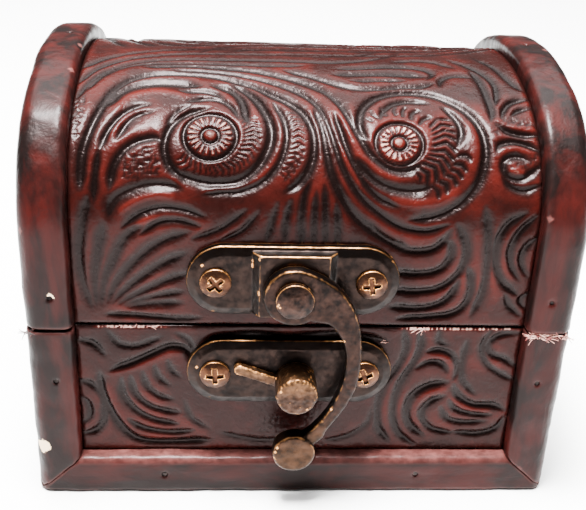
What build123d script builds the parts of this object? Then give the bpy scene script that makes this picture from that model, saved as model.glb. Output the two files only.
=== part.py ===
"""Small barrel-top keepsake box, sold as a tabernacle box: a wooden carcass under tooled leather,
framed by leather-wrapped rails, with a swing-hook hasp in front and two butt hinges behind.

Millimetres. Origin at the centre of the underside, +Z up, the hasp on the -Y side, +X to the right of it.
"""

import os
from math import asin, atan2, cos, degrees, radians, sin

from build123d import *

# ---- driving dimensions -------------------------------------------------------------------------
BOX_W = 80.0  # over the end rails
BOX_D = 62.0  # over the rails, without hasp and hinges
BOX_H = 64.5
SEAM_Z = 29.0  # middle of the gap between base and lid, and the height of the hinge axis
SEAM_GAP = 0.4
SPRING_Z = 42.5  # the lid's walls are upright to here
HAUNCH_R = 20.0  # the arch's side arcs; its crown arc follows from the height

RAIL_W = 6.8  # width of the end rails, seen from the front and from the side
FOOT_H = 6.3  # height of the foot rails
RAIL_PROUD = 2.4  # how far a rail stands out from the leather
RAIL_EDGE_R = 1.3  # rounding beside the leather
RAIL_CORNER_R = 2.2  # rounding along the box's outer corners
FOOT_EDGE_R = 0.5  # rounding along the floor

LEATHER_T = 0.9
BOARD_T = 4.0
BARREL_T = 3.0  # bent board over the lid
LINING_T = 0.6
LINING_SET_BACK = 0.5  # the lining stops this far short of the seam

HASP_X = -1.65  # the hasp sits a little left of the middle
HASP_PLATE_W, HASP_PLATE_H, HASP_PLATE_T = 30.6, 10.9, 1.8
FLANGE_OUT, FLANGE_BACK = 0.6, 1.3  # the plates' sloping edges
HASP_SCREW_SPACING = 22.2
HOOK_PLATE_Z = 37.05
CATCH_PLATE_Z = 21.7
BOSS_W, BOSS_RISE, BOSS_SLOPE = 9.8, 1.4, 1.1  # raised middle of the hook plate
BOSS_HOLLOW = 2.0  # depth of the hollow behind it

PIVOT_Z = 36.3
HOOK_T = 1.85
HOOK_RING_R = 4.4
# the arm's two edges, from the pivot: they leave the ring at these angles and end in the knob
HOOK_OUTER_LEAVES, HOOK_INNER_LEAVES = 68.7, -57.0
HOOK_OUTER_EDGE = [(7.0, 0.6), (9.5, -4.6), (10.1, -10.6), (8.8, -17.4), (5.6, -23.0), (1.4, -27.2)]
HOOK_INNER_EDGE = [(5.2, -4.4), (7.0, -6.8), (7.8, -10.6), (7.0, -16.0), (4.4, -21.2), (0.6, -24.7)]
KNOB_R, KNOB_T, KNOB_CENTRE = 3.25, 2.4, (0.9, -26.6)
HOOK_SOFTEN_R = 0.45

RIVET_R, RIVET_HEAD_R, RIVET_HEAD_T, RIVET_TAIL_R, RIVET_TAIL_T = 1.2, 2.7, 1.4, 1.8, 0.5
RIVET_RIM_SHARE = 0.6
PIVOT_PLAY = 0.05  # radial play of a part that turns on a pin or rivet
SLIDE_GAP = 0.12  # gap between flat faces that pass each other

STUD_R, STUD_LENGTH, STUD_EDGE_R = 3.05, 5.0, 0.5
STUD_X, STUD_Z = -0.8, 20.8
# finger beside the stud: its two ends from the stud's middle
TAIL_R, TAIL_T, TAIL_START, TAIL_TIP = 0.75, 1.25, (-2.0, -0.2), (-8.4, 2.2)
SCREW_HEAD_R, SCREW_HEAD_T, SCREW_R, SCREW_LENGTH = 2.25, 1.1, 1.0, 3.6
CROSS_W, CROSS_LENGTH, CROSS_DEPTH = 0.7, 2.6, 0.7
TIP_SHARE = 0.3  # width of a screw's blunt tip, as a share of its shank's
RIM_SHARE = 0.4  # the share of a domed head's height that is upright

HINGE_X = 21.0  # middle of each hinge from the box's middle
HINGE_W, HINGE_LEAF_H, HINGE_LEAF_T = 14.0, 8.5, 0.7
KNUCKLE_R, KNUCKLE_GAP = 1.7, 0.15
PIN_R = 0.7
LID_OPENS = 100.0
SMALL_HEAD_R, SMALL_HEAD_T, SMALL_R, SMALL_LENGTH = 1.3, 0.7, 0.6, 3.6
SMALL_CROSS_W, SMALL_CROSS_LENGTH, SMALL_CROSS_DEPTH = 0.4, 1.6, 0.4
SMALL_SPACING = 7.0

BRAD_R, BRAD_LENGTH = 0.45, 5.5
BRAD_SINK = 0.25  # a brad's end lies this far under the rail's face

# ---- places worked out from them ----------------------------------------------------------------
HALF_W, HALF_D = BOX_W / 2, BOX_D / 2
BASE_TOP = SEAM_Z - SEAM_GAP / 2
LID_BOTTOM = SEAM_Z + SEAM_GAP / 2
WOOD_IN = RAIL_PROUD + LEATHER_T  # from the rails' face to the wood
RISE = BOX_H - SPRING_Z
CROWN_R = (HALF_D**2 - 2 * HALF_D * HAUNCH_R + RISE**2) / (2 * (RISE - HAUNCH_R))
CROWN_CENTRE_Z = BOX_H - CROWN_R
HAUNCH_CENTRE_Y = HALF_D - HAUNCH_R
HAUNCH_TURN = atan2(SPRING_Z - CROWN_CENTRE_Z, HAUNCH_CENTRE_Y)  # where side arc meets crown arc

LEATHER_FRONT_Y = -(HALF_D - RAIL_PROUD)
LEATHER_BACK_Y = HALF_D - RAIL_PROUD
LEATHER_EDGE_X = HALF_W - RAIL_W  # the leather ends here, at the end rails
WOOD_X, WOOD_Y = HALF_W - WOOD_IN, HALF_D - WOOD_IN
INSIDE_X, INSIDE_Y = WOOD_X - BOARD_T, WOOD_Y - BOARD_T
PLATE_FRONT_Y = LEATHER_FRONT_Y - HASP_PLATE_T
BOSS_FRONT_Y = PLATE_FRONT_Y - BOSS_RISE
HOOK_BACK_Y = BOSS_FRONT_Y - SLIDE_GAP
HINGE_AXIS_Y = LEATHER_BACK_Y + KNUCKLE_R + 0.1
# rails behind the hinge axis are rounded away, so that the open lid clears the base
RELIEF_R = (HALF_D - HINGE_AXIS_Y) / cos(radians(LID_OPENS / 2)) + 0.15

SIDES = {"left": -1, "right": 1}
DEPTHS = {"front": -1, "back": 1}


# ---- helpers ------------------------------------------------------------------------------------
def block(x, y, z):
    """A box from three (low, high) pairs."""
    size = [high - low for low, high in (x, y, z)]
    middle = [(high + low) / 2 for low, high in (x, y, z)]
    return Pos(*middle) * Box(*size)


def along_y(radius, x, z, y_from, y_to):
    """A round bar that runs along Y."""
    middle = Pos(x, (y_from + y_to) / 2, z)
    return middle * Rot(90, 0, 0) * Cylinder(radius, abs(y_to - y_from))


def along_x(radius, y, z, x_from, x_to):
    """A round bar that runs along X."""
    middle = Pos((x_from + x_to) / 2, y, z)
    return middle * Rot(0, 90, 0) * Cylinder(radius, abs(x_to - x_from))


def arch(offset, floor, x_from, x_to):
    """The lid's side outline, taken in by offset, as a solid from x_from to x_to."""
    half = HALF_D - offset
    side_r, crown_r = HAUNCH_R - offset, CROWN_R - offset

    def on_haunch(turn):
        return HAUNCH_CENTRE_Y + side_r * cos(turn), SPRING_Z + side_r * sin(turn)

    mid_y, mid_z = on_haunch(HAUNCH_TURN / 2)
    end_y, end_z = on_haunch(HAUNCH_TURN)
    crown = (0, CROWN_CENTRE_Z + crown_r)
    outline = [
        Line((-half, floor), (half, floor)),
        Line((half, floor), (half, SPRING_Z)),
        ThreePointArc((half, SPRING_Z), (mid_y, mid_z), (end_y, end_z)),
        ThreePointArc((end_y, end_z), crown, (-end_y, end_z)),
        ThreePointArc((-end_y, end_z), (-mid_y, mid_z), (-half, SPRING_Z)),
        Line((-half, SPRING_Z), (-half, floor)),
    ]
    face = Plane.YZ.offset(x_from) * make_face(outline)
    return extrude(face, x_to - x_from)


def half_kept(shape, point, normal):
    """The part of shape on the side of a plane that its normal points to."""
    return split(shape, bisect_by=Plane(origin=point, z_dir=normal), keep=Keep.TOP)


def edges_near(shape, **places):
    """Edges whose middle lies at the given x, y or z."""
    found = ShapeList()
    for edge in shape.edges():
        middle = edge.center(CenterOf.BOUNDING_BOX)
        at = {"x": middle.X, "y": middle.Y, "z": middle.Z}
        if all(abs(at[axis] - value) < 0.01 for axis, value in places.items()):
            found.append(edge)
    return found


def write(shape, node):
    """Write one node's STEP file."""
    shape.label = node
    export_step(shape, f"parts/{node}.step")


# ---- fasteners ----------------------------------------------------------------------------------
def dome(radius, rim, top):
    """The profile of a round dome, from its rim to its middle on the axis."""
    rise = top - rim
    ball = (radius**2 + rise**2) / (2 * rise)
    half_turn = asin(radius / ball) / 2
    middle = (ball * sin(half_turn), top - ball + ball * cos(half_turn))
    return ThreePointArc((radius, rim), middle, (0, top))


def domed_head(radius, height):
    """A pan head: a disc with a domed top, standing on z = 0."""
    rim = height * RIM_SHARE
    profile = [Polyline((0, height), (0, 0), (radius, 0), (radius, rim)), dome(radius, rim, height)]
    return revolve(Plane.XZ * make_face(profile), Axis.Z)


def cross_screw(head_r, head_t, shank_r, length, cross_w, cross_length, cross_depth):
    """A cross-recessed pan-head screw along Z, its head standing on z = 0 and its shank below."""
    shank = Pos(0, 0, -length / 2) * Cylinder(shank_r, length)
    hang = (Align.CENTER, Align.CENTER, Align.MAX)
    tip = Pos(0, 0, -length) * Cone(shank_r * TIP_SHARE, shank_r, shank_r, align=hang)
    screw = domed_head(head_r, head_t) + shank + tip
    for size in ((cross_length, cross_w), (cross_w, cross_length)):
        screw -= Pos(0, 0, head_t) * Box(*size, 2 * cross_depth)
    return screw


def screws_at(places, y, facing, turns, sizes):
    """Screws on a wall at y, heads towards facing (-1 front, 1 back), as one group of solids."""
    lay = Rot(90, 0, 0) if facing < 0 else Rot(-90, 0, 0)
    group = [
        Pos(x, y, z) * lay * Rot(0, 0, turn) * cross_screw(*sizes) for (x, z), turn in zip(places, turns)
    ]
    return Compound(children=group)


HASP_SCREW = (SCREW_HEAD_R, SCREW_HEAD_T, SCREW_R, SCREW_LENGTH, CROSS_W, CROSS_LENGTH, CROSS_DEPTH)
HINGE_SCREW = (
    SMALL_HEAD_R,
    SMALL_HEAD_T,
    SMALL_R,
    SMALL_LENGTH,
    SMALL_CROSS_W,
    SMALL_CROSS_LENGTH,
    SMALL_CROSS_DEPTH,
)


def hasp_screw_places(z):
    """The two screw places of a hasp plate."""
    return [(HASP_X + side * HASP_SCREW_SPACING / 2, z) for side in (-1, 1)]


def hinge_screw_places(direction):
    """The screw places of both hinges' leaves, on the lid (direction 1) or the base (-1)."""
    z = SEAM_Z + direction * (HINGE_LEAF_H * 0.62)
    return [
        (side * HINGE_X + step * SMALL_SPACING / 2, z) for side in SIDES.values() for step in (-1, 1)
    ]


def bored_for_screws(shape, places, y, facing, radius, length):
    """Shape with the holes that screws standing on a wall at y go into."""
    for x, z in places:
        shape -= along_y(radius, x, z, y + facing, y - facing * (length + radius))
    return shape


# brads: (x, y, z) of the rail's face and the direction that the brad points in
FOOT_BRADS = [
    (Vector(x, y * HALF_D, FOOT_H / 2), Vector(0, -y, 0)) for y in (-1, 1) for x in (-20.5, 19.0)
] + [(Vector(x * HALF_W, 0, FOOT_H / 2), Vector(-x, 0, 0)) for x in (-1, 1)]
POST_BRADS = [
    (Vector(x * (HALF_W - RAIL_W / 2 - 0.6), y * HALF_D, 20.5), Vector(0, -y, 0))
    for x in (-1, 1)
    for y in (-1, 1)
]
HOOP_BRADS = [
    (Vector(x * (HALF_W - RAIL_W / 2 - 0.6), y * HALF_D, 34.5), Vector(0, -y, 0))
    for x in (-1, 1)
    for y in (-1, 1)
] + [(Vector(x * (HALF_W - RAIL_W / 2 - 0.6), 0, BOX_H), Vector(0, 0, -1)) for x in (-1, 1)]


def brad_bar(place, direction, start, length):
    """A round bar into the wood from a rail's face."""
    plane = Plane(origin=place + direction * start, z_dir=direction)
    return extrude(plane * Circle(BRAD_R), length)


def brads(places):
    """The brads at some places, as one group of solids."""
    return Compound(children=[brad_bar(*place, BRAD_SINK, BRAD_LENGTH) for place in places])


def bored_for_brads(shape, places):
    """Shape with the brads' holes, open at the rail's face."""
    for place in places:
        shape -= brad_bar(*place, -1.0, BRAD_LENGTH + BRAD_SINK + 1.0)
    return shape


# ---- base ---------------------------------------------------------------------------------------
def base_boards():
    """Five boards: front and back run over the ends of the side boards, all on the bottom board."""
    upright = (BOARD_T, BASE_TOP)
    boards = {"bottom_board": block((-WOOD_X, WOOD_X), (-WOOD_Y, WOOD_Y), (0, BOARD_T))}
    for name, side in DEPTHS.items():
        y = sorted((side * INSIDE_Y, side * WOOD_Y))
        boards[f"{name}_board"] = block((-WOOD_X, WOOD_X), y, upright)
    for name, side in SIDES.items():
        x = sorted((side * INSIDE_X, side * WOOD_X))
        boards[f"{name}_board"] = block(x, (-INSIDE_Y, INSIDE_Y), upright)
    boards["front_board"] = bored_for_screws(
        boards["front_board"], hasp_screw_places(CATCH_PLATE_Z), PLATE_FRONT_Y, -1, SCREW_R, SCREW_LENGTH
    )
    boards["back_board"] = bored_for_screws(
        boards["back_board"],
        hinge_screw_places(-1),
        LEATHER_BACK_Y + HINGE_LEAF_T,
        1,
        SMALL_R,
        SMALL_LENGTH,
    )
    return {name: bored_for_brads(board, FOOT_BRADS + POST_BRADS) for name, board in boards.items()}


def base_leathers():
    """A sheet of leather on each wall, between the rails."""
    z = (FOOT_H, BASE_TOP)
    sheets = {}
    for name, side in DEPTHS.items():
        y = sorted((side * WOOD_Y, side * (WOOD_Y + LEATHER_T)))
        sheets[f"{name}_leather"] = block((-LEATHER_EDGE_X, LEATHER_EDGE_X), y, z)
    for name, side in SIDES.items():
        x = sorted((side * WOOD_X, side * (WOOD_X + LEATHER_T)))
        sheets[f"{name}_leather"] = block(x, (RAIL_W - HALF_D, HALF_D - RAIL_W), z)
    sheets["front_leather"] = bored_for_screws(
        sheets["front_leather"], hasp_screw_places(CATCH_PLATE_Z), PLATE_FRONT_Y, -1, SCREW_R, SCREW_LENGTH
    )
    sheets["back_leather"] = bored_for_screws(
        sheets["back_leather"],
        hinge_screw_places(-1),
        LEATHER_BACK_Y + HINGE_LEAF_T,
        1,
        SMALL_R,
        SMALL_LENGTH,
    )
    return sheets


def mitred(shape, x_side, y_side, along):
    """Shape cut to its share of a bottom corner, where post and foot rails meet in mitres."""
    corner = (x_side * HALF_W, y_side * HALF_D, 0)
    inward = {
        "x": Vector(-x_side / RAIL_W, 0, 0),
        "y": Vector(0, -y_side / RAIL_W, 0),
        "z": Vector(0, 0, 1 / FOOT_H),
    }
    for other in inward:
        if other != along:
            shape = half_kept(shape, corner, inward[along] - inward[other])
    return shape


def corner_post(x_side, y_side):
    """An L-section rail up one corner of the base, rounded over where the open lid passes it."""
    z = (0, BASE_TOP)
    outer_x, outer_y = x_side * HALF_W, y_side * HALF_D
    edge_x, edge_y = x_side * LEATHER_EDGE_X, y_side * (HALF_D - RAIL_W)
    post = block(sorted((edge_x, outer_x)), sorted((y_side * WOOD_Y, outer_y)), z)
    post += block(sorted((x_side * WOOD_X, outer_x)), sorted((edge_y, outer_y)), z)
    post = fillet(edges_near(post, x=outer_x, y=outer_y), RAIL_CORNER_R)
    post = fillet(edges_near(post, x=edge_x, y=outer_y), RAIL_EDGE_R)
    post = fillet(edges_near(post, x=outer_x, y=edge_y), RAIL_EDGE_R)
    post = mitred(post, x_side, y_side, "z")
    if y_side > 0:
        post -= along_x(RELIEF_R, HINGE_AXIS_Y, SEAM_Z, -BOX_W, BOX_W)
    return bored_for_brads(post, POST_BRADS)


def foot_rail(wall):
    """The rail along the foot of one wall, mitred at both ends."""
    corner_round = Pos(0, 0, FOOT_H / 2) * extrude(
        RectangleRounded(BOX_W, BOX_D, RAIL_CORNER_R), FOOT_H / 2, both=True
    )
    z = (0, FOOT_H)
    if wall in DEPTHS:
        side = DEPTHS[wall]
        rail = block((-HALF_W, HALF_W), sorted((side * WOOD_Y, side * HALF_D)), z)
        face = {"y": side * HALF_D}
        corners, along = [(-1, side), (1, side)], "x"
    else:
        side = SIDES[wall]
        rail = block(sorted((side * WOOD_X, side * HALF_W)), (-HALF_D, HALF_D), z)
        face = {"x": side * HALF_W}
        corners, along = [(side, -1), (side, 1)], "y"
    rail = fillet(edges_near(rail, z=FOOT_H, **face), RAIL_EDGE_R)
    rail = fillet(edges_near(rail, z=0, **face), FOOT_EDGE_R)
    rail = rail & corner_round
    for x_side, y_side in corners:
        rail = mitred(rail, x_side, y_side, along)
    return bored_for_brads(rail, FOOT_BRADS)


def base_lining():
    """A cloth tray against the bottom and the four walls."""
    top = BASE_TOP - LINING_SET_BACK
    outer = block((-INSIDE_X, INSIDE_X), (-INSIDE_Y, INSIDE_Y), (BOARD_T, top))
    inner_x, inner_y = INSIDE_X - LINING_T, INSIDE_Y - LINING_T
    return outer - block((-inner_x, inner_x), (-inner_y, inner_y), (BOARD_T + LINING_T, top + 1))


# ---- lid ----------------------------------------------------------------------------------------
def lid_bored(shape):
    """Shape with the lid's holes for hasp screws, hinge screws and brads."""
    shape = bored_for_screws(
        shape, hasp_screw_places(HOOK_PLATE_Z), PLATE_FRONT_Y, -1, SCREW_R, SCREW_LENGTH
    )
    shape = bored_for_screws(
        shape,
        hinge_screw_places(1),
        LEATHER_BACK_Y + HINGE_LEAF_T,
        1,
        SMALL_R,
        SMALL_LENGTH,
    )
    return bored_for_brads(shape, HOOP_BRADS)


def lid_barrel():
    """The bent board over the lid, from the front seam to the back seam."""
    barrel = arch(WOOD_IN, LID_BOTTOM, -WOOD_X, WOOD_X)
    barrel -= arch(WOOD_IN + BARREL_T, LID_BOTTOM - 1, -BOX_W, BOX_W)
    return lid_bored(barrel)


def lid_end(side):
    """The arched board inside one end of the barrel."""
    return arch(WOOD_IN + BARREL_T, LID_BOTTOM, *sorted((side * INSIDE_X, side * WOOD_X)))


def lid_leather():
    """The tooled leather over the barrel, between the hoops."""
    sheet = arch(RAIL_PROUD, LID_BOTTOM, -LEATHER_EDGE_X, LEATHER_EDGE_X)
    sheet -= arch(WOOD_IN, LID_BOTTOM - 1, -BOX_W, BOX_W)
    return lid_bored(sheet)


def lid_end_leather(side):
    """The leather on one end of the lid, inside the hoop."""
    return arch(RAIL_W, LID_BOTTOM, *sorted((side * WOOD_X, side * (WOOD_X + LEATHER_T))))


def hoop(side):
    """The L-section rail round one end of the lid, rounded over behind the hinge axis."""
    ring = arch(0, LID_BOTTOM, *sorted((side * LEATHER_EDGE_X, side * HALF_W)))
    ring -= arch(WOOD_IN, LID_BOTTOM - 1, *sorted((side * (LEATHER_EDGE_X - 1), side * WOOD_X)))
    ring -= arch(RAIL_W, LID_BOTTOM - 1, *sorted((side * WOOD_X, side * (HALF_W + 1))))

    def rim(x, offset):
        """The arched edges at this x, on the outline taken in by offset."""
        found = ShapeList()
        for edge in ring.edges():
            ends = (edge.position_at(0), edge.position_at(0.5), edge.position_at(1))
            if all(abs(point.X - x) < 0.01 and on_outline(point, offset) for point in ends):
                found.append(edge)
        return found

    outer, inner, side_inner = (
        rim(side * HALF_W, 0),
        rim(side * LEATHER_EDGE_X, 0),
        rim(side * HALF_W, RAIL_W),
    )
    ring = fillet(outer, RAIL_CORNER_R)
    ring = fillet(ShapeList(near_again(ring, inner)), RAIL_EDGE_R)
    ring = fillet(ShapeList(near_again(ring, side_inner)), RAIL_EDGE_R)
    ring -= along_x(RELIEF_R, HINGE_AXIS_Y, SEAM_Z, -BOX_W, BOX_W)
    return bored_for_brads(ring, HOOP_BRADS)


def on_outline(point, offset):
    """Whether a point lies on the lid's side outline taken in by offset, apart from its floor."""
    y, z = abs(point.Y), point.Z
    if z <= SPRING_Z:
        return abs(y - (HALF_D - offset)) < 0.01
    turn = atan2(z - SPRING_Z, y - HAUNCH_CENTRE_Y)
    if turn < HAUNCH_TURN:
        centre_y, centre_z, radius = HAUNCH_CENTRE_Y, SPRING_Z, HAUNCH_R
    else:
        centre_y, centre_z, radius = 0, CROWN_CENTRE_Z, CROWN_R
    return abs(((y - centre_y) ** 2 + (z - centre_z) ** 2) ** 0.5 - (radius - offset)) < 0.01


def near_again(shape, edges):
    """Shape's edges whose middles lie where the middles of some earlier edges lay."""
    middles = [edge.position_at(0.5) for edge in edges]
    return [
        edge
        for edge in shape.edges()
        if any((edge.position_at(0.5) - middle).length < 0.3 for middle in middles)
    ]


def lid_lining():
    """A cloth lining inside the barrel and its end boards."""
    floor = LID_BOTTOM + LINING_SET_BACK
    shell = arch(WOOD_IN + BARREL_T, floor, -INSIDE_X, INSIDE_X)
    inner_x = INSIDE_X - LINING_T
    return shell - arch(WOOD_IN + BARREL_T + LINING_T, floor - 1, -inner_x, inner_x)


# ---- hasp ---------------------------------------------------------------------------------------
def hasp_plate(z):
    """A flat plate with round ends and two screw holes, on the leather."""
    outline = SlotOverall(HASP_PLATE_W, HASP_PLATE_H)
    plate = extrude(Plane.XZ * outline, HASP_PLATE_T)
    front = plate.faces().sort_by(Axis.Y)[0]
    plate = chamfer(front.edges(), FLANGE_BACK, FLANGE_OUT, reference=front)
    return Pos(HASP_X, LEATHER_FRONT_Y, z) * plate


def hook_plate():
    """The lid's plate, its middle pressed forward into a hollow boss for the hook."""
    plate = hasp_plate(HOOK_PLATE_Z)
    front_h = HASP_PLATE_H - 2 * FLANGE_OUT
    front = BOSS_FRONT_Y - LEATHER_FRONT_Y
    half, foot = BOSS_W / 2, BOSS_W / 2 + BOSS_SLOPE
    left = [(-foot, 0), (-foot, -HASP_PLATE_T), (-half, front)]
    right = [(half, front), (foot, -HASP_PLATE_T), (foot, 0)]
    boss = extrude(make_face(Polyline(*left, *right, close=True)), front_h / 2, both=True)
    hollow_size = (BOSS_W - 2 * BOSS_SLOPE, BOSS_HOLLOW, front_h - 2 * BOSS_SLOPE)
    hollow = Pos(0, -BOSS_HOLLOW / 2, 0) * Box(*hollow_size)
    plate += Pos(HASP_X, LEATHER_FRONT_Y, HOOK_PLATE_Z) * boss
    plate -= Pos(HASP_X, LEATHER_FRONT_Y, HOOK_PLATE_Z) * hollow
    plate = bored_for_screws(
        plate, hasp_screw_places(HOOK_PLATE_Z), PLATE_FRONT_Y, -1, SCREW_R, HASP_PLATE_T
    )
    return plate - along_y(RIVET_R, HASP_X, PIVOT_Z, BOSS_FRONT_Y - 1, LEATHER_FRONT_Y)


def hook_rivet():
    """The rivet that the hook turns on, its tail spread in the boss's hollow."""
    wall_back = BOSS_HOLLOW
    wall_front = HASP_PLATE_T + BOSS_RISE
    head = wall_front + 2 * SLIDE_GAP + HOOK_T
    rim, top = head + RIVET_HEAD_T * RIVET_RIM_SHARE, head + RIVET_HEAD_T
    profile = [
        Polyline(
            (0, top),
            (0, wall_back - RIVET_TAIL_T),
            (RIVET_TAIL_R, wall_back - RIVET_TAIL_T),
            (RIVET_TAIL_R, wall_back),
            (RIVET_R, wall_back),
            (RIVET_R, head),
            (RIVET_HEAD_R, head),
            (RIVET_HEAD_R, rim),
        ),
        dome(RIVET_HEAD_R, rim, top),
    ]
    rivet = revolve(Plane.XZ * make_face(profile), Axis.Z)
    return Pos(HASP_X, LEATHER_FRONT_Y, PIVOT_Z) * Rot(90, 0, 0) * rivet


def softened(shape, radius=HOOK_SOFTEN_R):
    """Shape with its two longest front edges, or its one round one, rounded."""
    return fillet(shape.edges().group_by(Axis.Y)[0].sort_by(SortBy.LENGTH)[-2:], radius)


def swing_hook():
    """The C-shaped hook: a ring on the rivet, a crescent arm to the right of it, and a round knob."""
    outer_start = Vector(HOOK_RING_R, 0).rotate(Axis.Z, HOOK_OUTER_LEAVES)
    inner_start = Vector(HOOK_RING_R, 0).rotate(Axis.Z, HOOK_INNER_LEAVES)
    along_ring = (outer_start.Y, -outer_start.X)
    arm = [
        Spline(outer_start, *HOOK_OUTER_EDGE, tangents=[along_ring, (-0.8, -0.6)]),
        Line(HOOK_OUTER_EDGE[-1], HOOK_INNER_EDGE[-1]),
        Spline(*reversed(HOOK_INNER_EDGE), inner_start, tangents=[(0.85, 0.5), (-0.9, 0.2)]),
        Line(inner_start, (0, 0)),
        Line((0, 0), outer_start),
    ]
    hook = softened(extrude(Plane.XZ * make_face(arm), HOOK_T))
    for centre, radius, thickness in (((0, 0), HOOK_RING_R, HOOK_T), (KNOB_CENTRE, KNOB_R, KNOB_T)):
        hook += softened(along_y(radius, *centre, 0, -thickness))
    hook -= along_y(RIVET_R + PIVOT_PLAY, 0, 0, 1, -HOOK_T - 1)
    return Pos(HASP_X, HOOK_BACK_Y, PIVOT_Z) * hook


def catch_plate():
    """The base's plate, bored for its screws and for the stud's shank."""
    plate = hasp_plate(CATCH_PLATE_Z)
    plate = bored_for_screws(
        plate, hasp_screw_places(CATCH_PLATE_Z), PLATE_FRONT_Y, -1, SCREW_R, HASP_PLATE_T
    )
    return plate - along_y(RIVET_R, STUD_X, STUD_Z, PLATE_FRONT_Y - 1, LEATHER_FRONT_Y + 1)


def catch_stud():
    """The round stud that the hook closes under, with a finger beside it for the thumb."""
    root = Pos(STUD_X, PLATE_FRONT_Y, STUD_Z)
    stud = softened(along_y(STUD_R, 0, 0, 0, -STUD_LENGTH), STUD_EDGE_R)
    start, tip = Vector(*TAIL_START), Vector(*TAIL_TIP)
    finger = SlotCenterToCenter((tip - start).length, 2 * TAIL_R)
    middle = (start + tip) / 2
    turn = degrees(atan2(tip.Y - start.Y, tip.X - start.X))
    finger = extrude(Plane.XZ * (Pos(middle.X, middle.Y) * Rot(0, 0, turn) * finger), TAIL_T)
    shank = along_y(RIVET_R, 0, 0, 0, HASP_PLATE_T)
    return root * (stud + finger + shank)


# ---- hinges -------------------------------------------------------------------------------------
def knuckle_spans(direction):
    """Where one leaf's knuckles lie: the lid (1) has the middle one, the base (-1) the other two."""
    edge, step = HINGE_W / 2, HINGE_W / 6
    return [(-step, step)] if direction > 0 else [(-edge, -step), (step, edge)]


def hinge_leaf(side, direction):
    """One leaf of one hinge, with its knuckles round the axis, notched for the other leaf's."""
    middle = side * HINGE_X
    near, far = SEAM_Z, SEAM_Z + direction * HINGE_LEAF_H
    leaf = block(
        (middle - HINGE_W / 2, middle + HINGE_W / 2),
        (LEATHER_BACK_Y, LEATHER_BACK_Y + HINGE_LEAF_T),
        sorted((near, far)),
    )
    leaf = fillet(edges_near(leaf, z=far, y=LEATHER_BACK_Y + HINGE_LEAF_T / 2), 1.5)
    for low, high in knuckle_spans(-direction):
        gap = KNUCKLE_GAP / 2
        leaf -= along_x(
            KNUCKLE_R + KNUCKLE_GAP, HINGE_AXIS_Y, SEAM_Z, middle + low - gap, middle + high + gap
        )
    for low, high in knuckle_spans(direction):
        gap = KNUCKLE_GAP / 2
        start = middle + low + (gap if low > -HINGE_W / 2 else 0)
        end = middle + high - (gap if high < HINGE_W / 2 else 0)
        leaf += along_x(KNUCKLE_R, HINGE_AXIS_Y, SEAM_Z, start, end)
    play = PIVOT_PLAY if direction > 0 else 0
    leaf -= along_x(PIN_R + play, HINGE_AXIS_Y, SEAM_Z, middle - HINGE_W, middle + HINGE_W)
    return bored_for_screws(
        leaf, hinge_screw_places(direction), LEATHER_BACK_Y + HINGE_LEAF_T, 1, SMALL_R, 1
    )


def hinge_pin(side):
    """One hinge's pin, as long as its knuckles."""
    middle = side * HINGE_X
    return along_x(PIN_R, HINGE_AXIS_Y, SEAM_Z, middle - HINGE_W / 2, middle + HINGE_W / 2)


# ---- the whole box ------------------------------------------------------------------------------
def all_nodes():
    """Every node's solid or group of solids, by name."""
    nodes = {**base_boards(), **{f"base_{name}": sheet for name, sheet in base_leathers().items()}}
    for depth_name, y_side in DEPTHS.items():
        for side_name, x_side in SIDES.items():
            nodes[f"corner_post_{depth_name}_{side_name}"] = corner_post(x_side, y_side)
    for wall in (*DEPTHS, *SIDES):
        nodes[f"foot_rail_{wall}"] = foot_rail(wall)
    nodes["rail_brads"] = brads(FOOT_BRADS + POST_BRADS)
    nodes["base_lining"] = base_lining()

    nodes["lid_barrel"] = lid_barrel()
    nodes["lid_leather"] = lid_leather()
    nodes["lid_lining"] = lid_lining()
    nodes["hoop_brads"] = brads(HOOP_BRADS)
    for name, side in SIDES.items():
        nodes[f"lid_end_{name}"] = lid_end(side)
        nodes[f"lid_end_leather_{name}"] = lid_end_leather(side)
        nodes[f"hoop_{name}"] = hoop(side)

    nodes["hook_plate"] = hook_plate()
    nodes["hook_rivet"] = hook_rivet()
    nodes["swing_hook"] = swing_hook()
    nodes["catch_plate"] = catch_plate()
    nodes["catch_stud"] = catch_stud()
    nodes["hook_plate_screws"] = screws_at(
        hasp_screw_places(HOOK_PLATE_Z), PLATE_FRONT_Y, -1, (38, 8), HASP_SCREW
    )
    nodes["catch_plate_screws"] = screws_at(
        hasp_screw_places(CATCH_PLATE_Z), PLATE_FRONT_Y, -1, (3, 20), HASP_SCREW
    )

    for name, side in SIDES.items():
        nodes[f"hinge_leaf_lid_{name}"] = hinge_leaf(side, 1)
        nodes[f"hinge_leaf_base_{name}"] = hinge_leaf(side, -1)
        nodes[f"hinge_pin_{name}"] = hinge_pin(side)
    leaf_face = LEATHER_BACK_Y + HINGE_LEAF_T
    nodes["hinge_screws_lid"] = screws_at(
        hinge_screw_places(1), leaf_face, 1, (10, 65, 30, 80), HINGE_SCREW
    )
    nodes["hinge_screws_base"] = screws_at(
        hinge_screw_places(-1), leaf_face, 1, (50, 20, 75, 5), HINGE_SCREW
    )
    return nodes


os.makedirs("parts", exist_ok=True)
for node_name, node_shape in all_nodes().items():
    write(node_shape, node_name)
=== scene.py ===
"""Barrel-top keepsake box: tooled leather panels, leather-wrapped rails and an antique brass hasp.

Part frame: origin at the centre of the underside, +Z up, hasp on the -Y side. Blender works in metres;
the tooling below is laid out in millimetres, across (x) and up along the leather (s). On the lid s runs
up the front wall, over the barrel and down the back, and starts at the underside's height.
"""
from math import cos, pi, sin

import bpy
import numpy as np
from mathutils import Matrix, Vector


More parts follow.
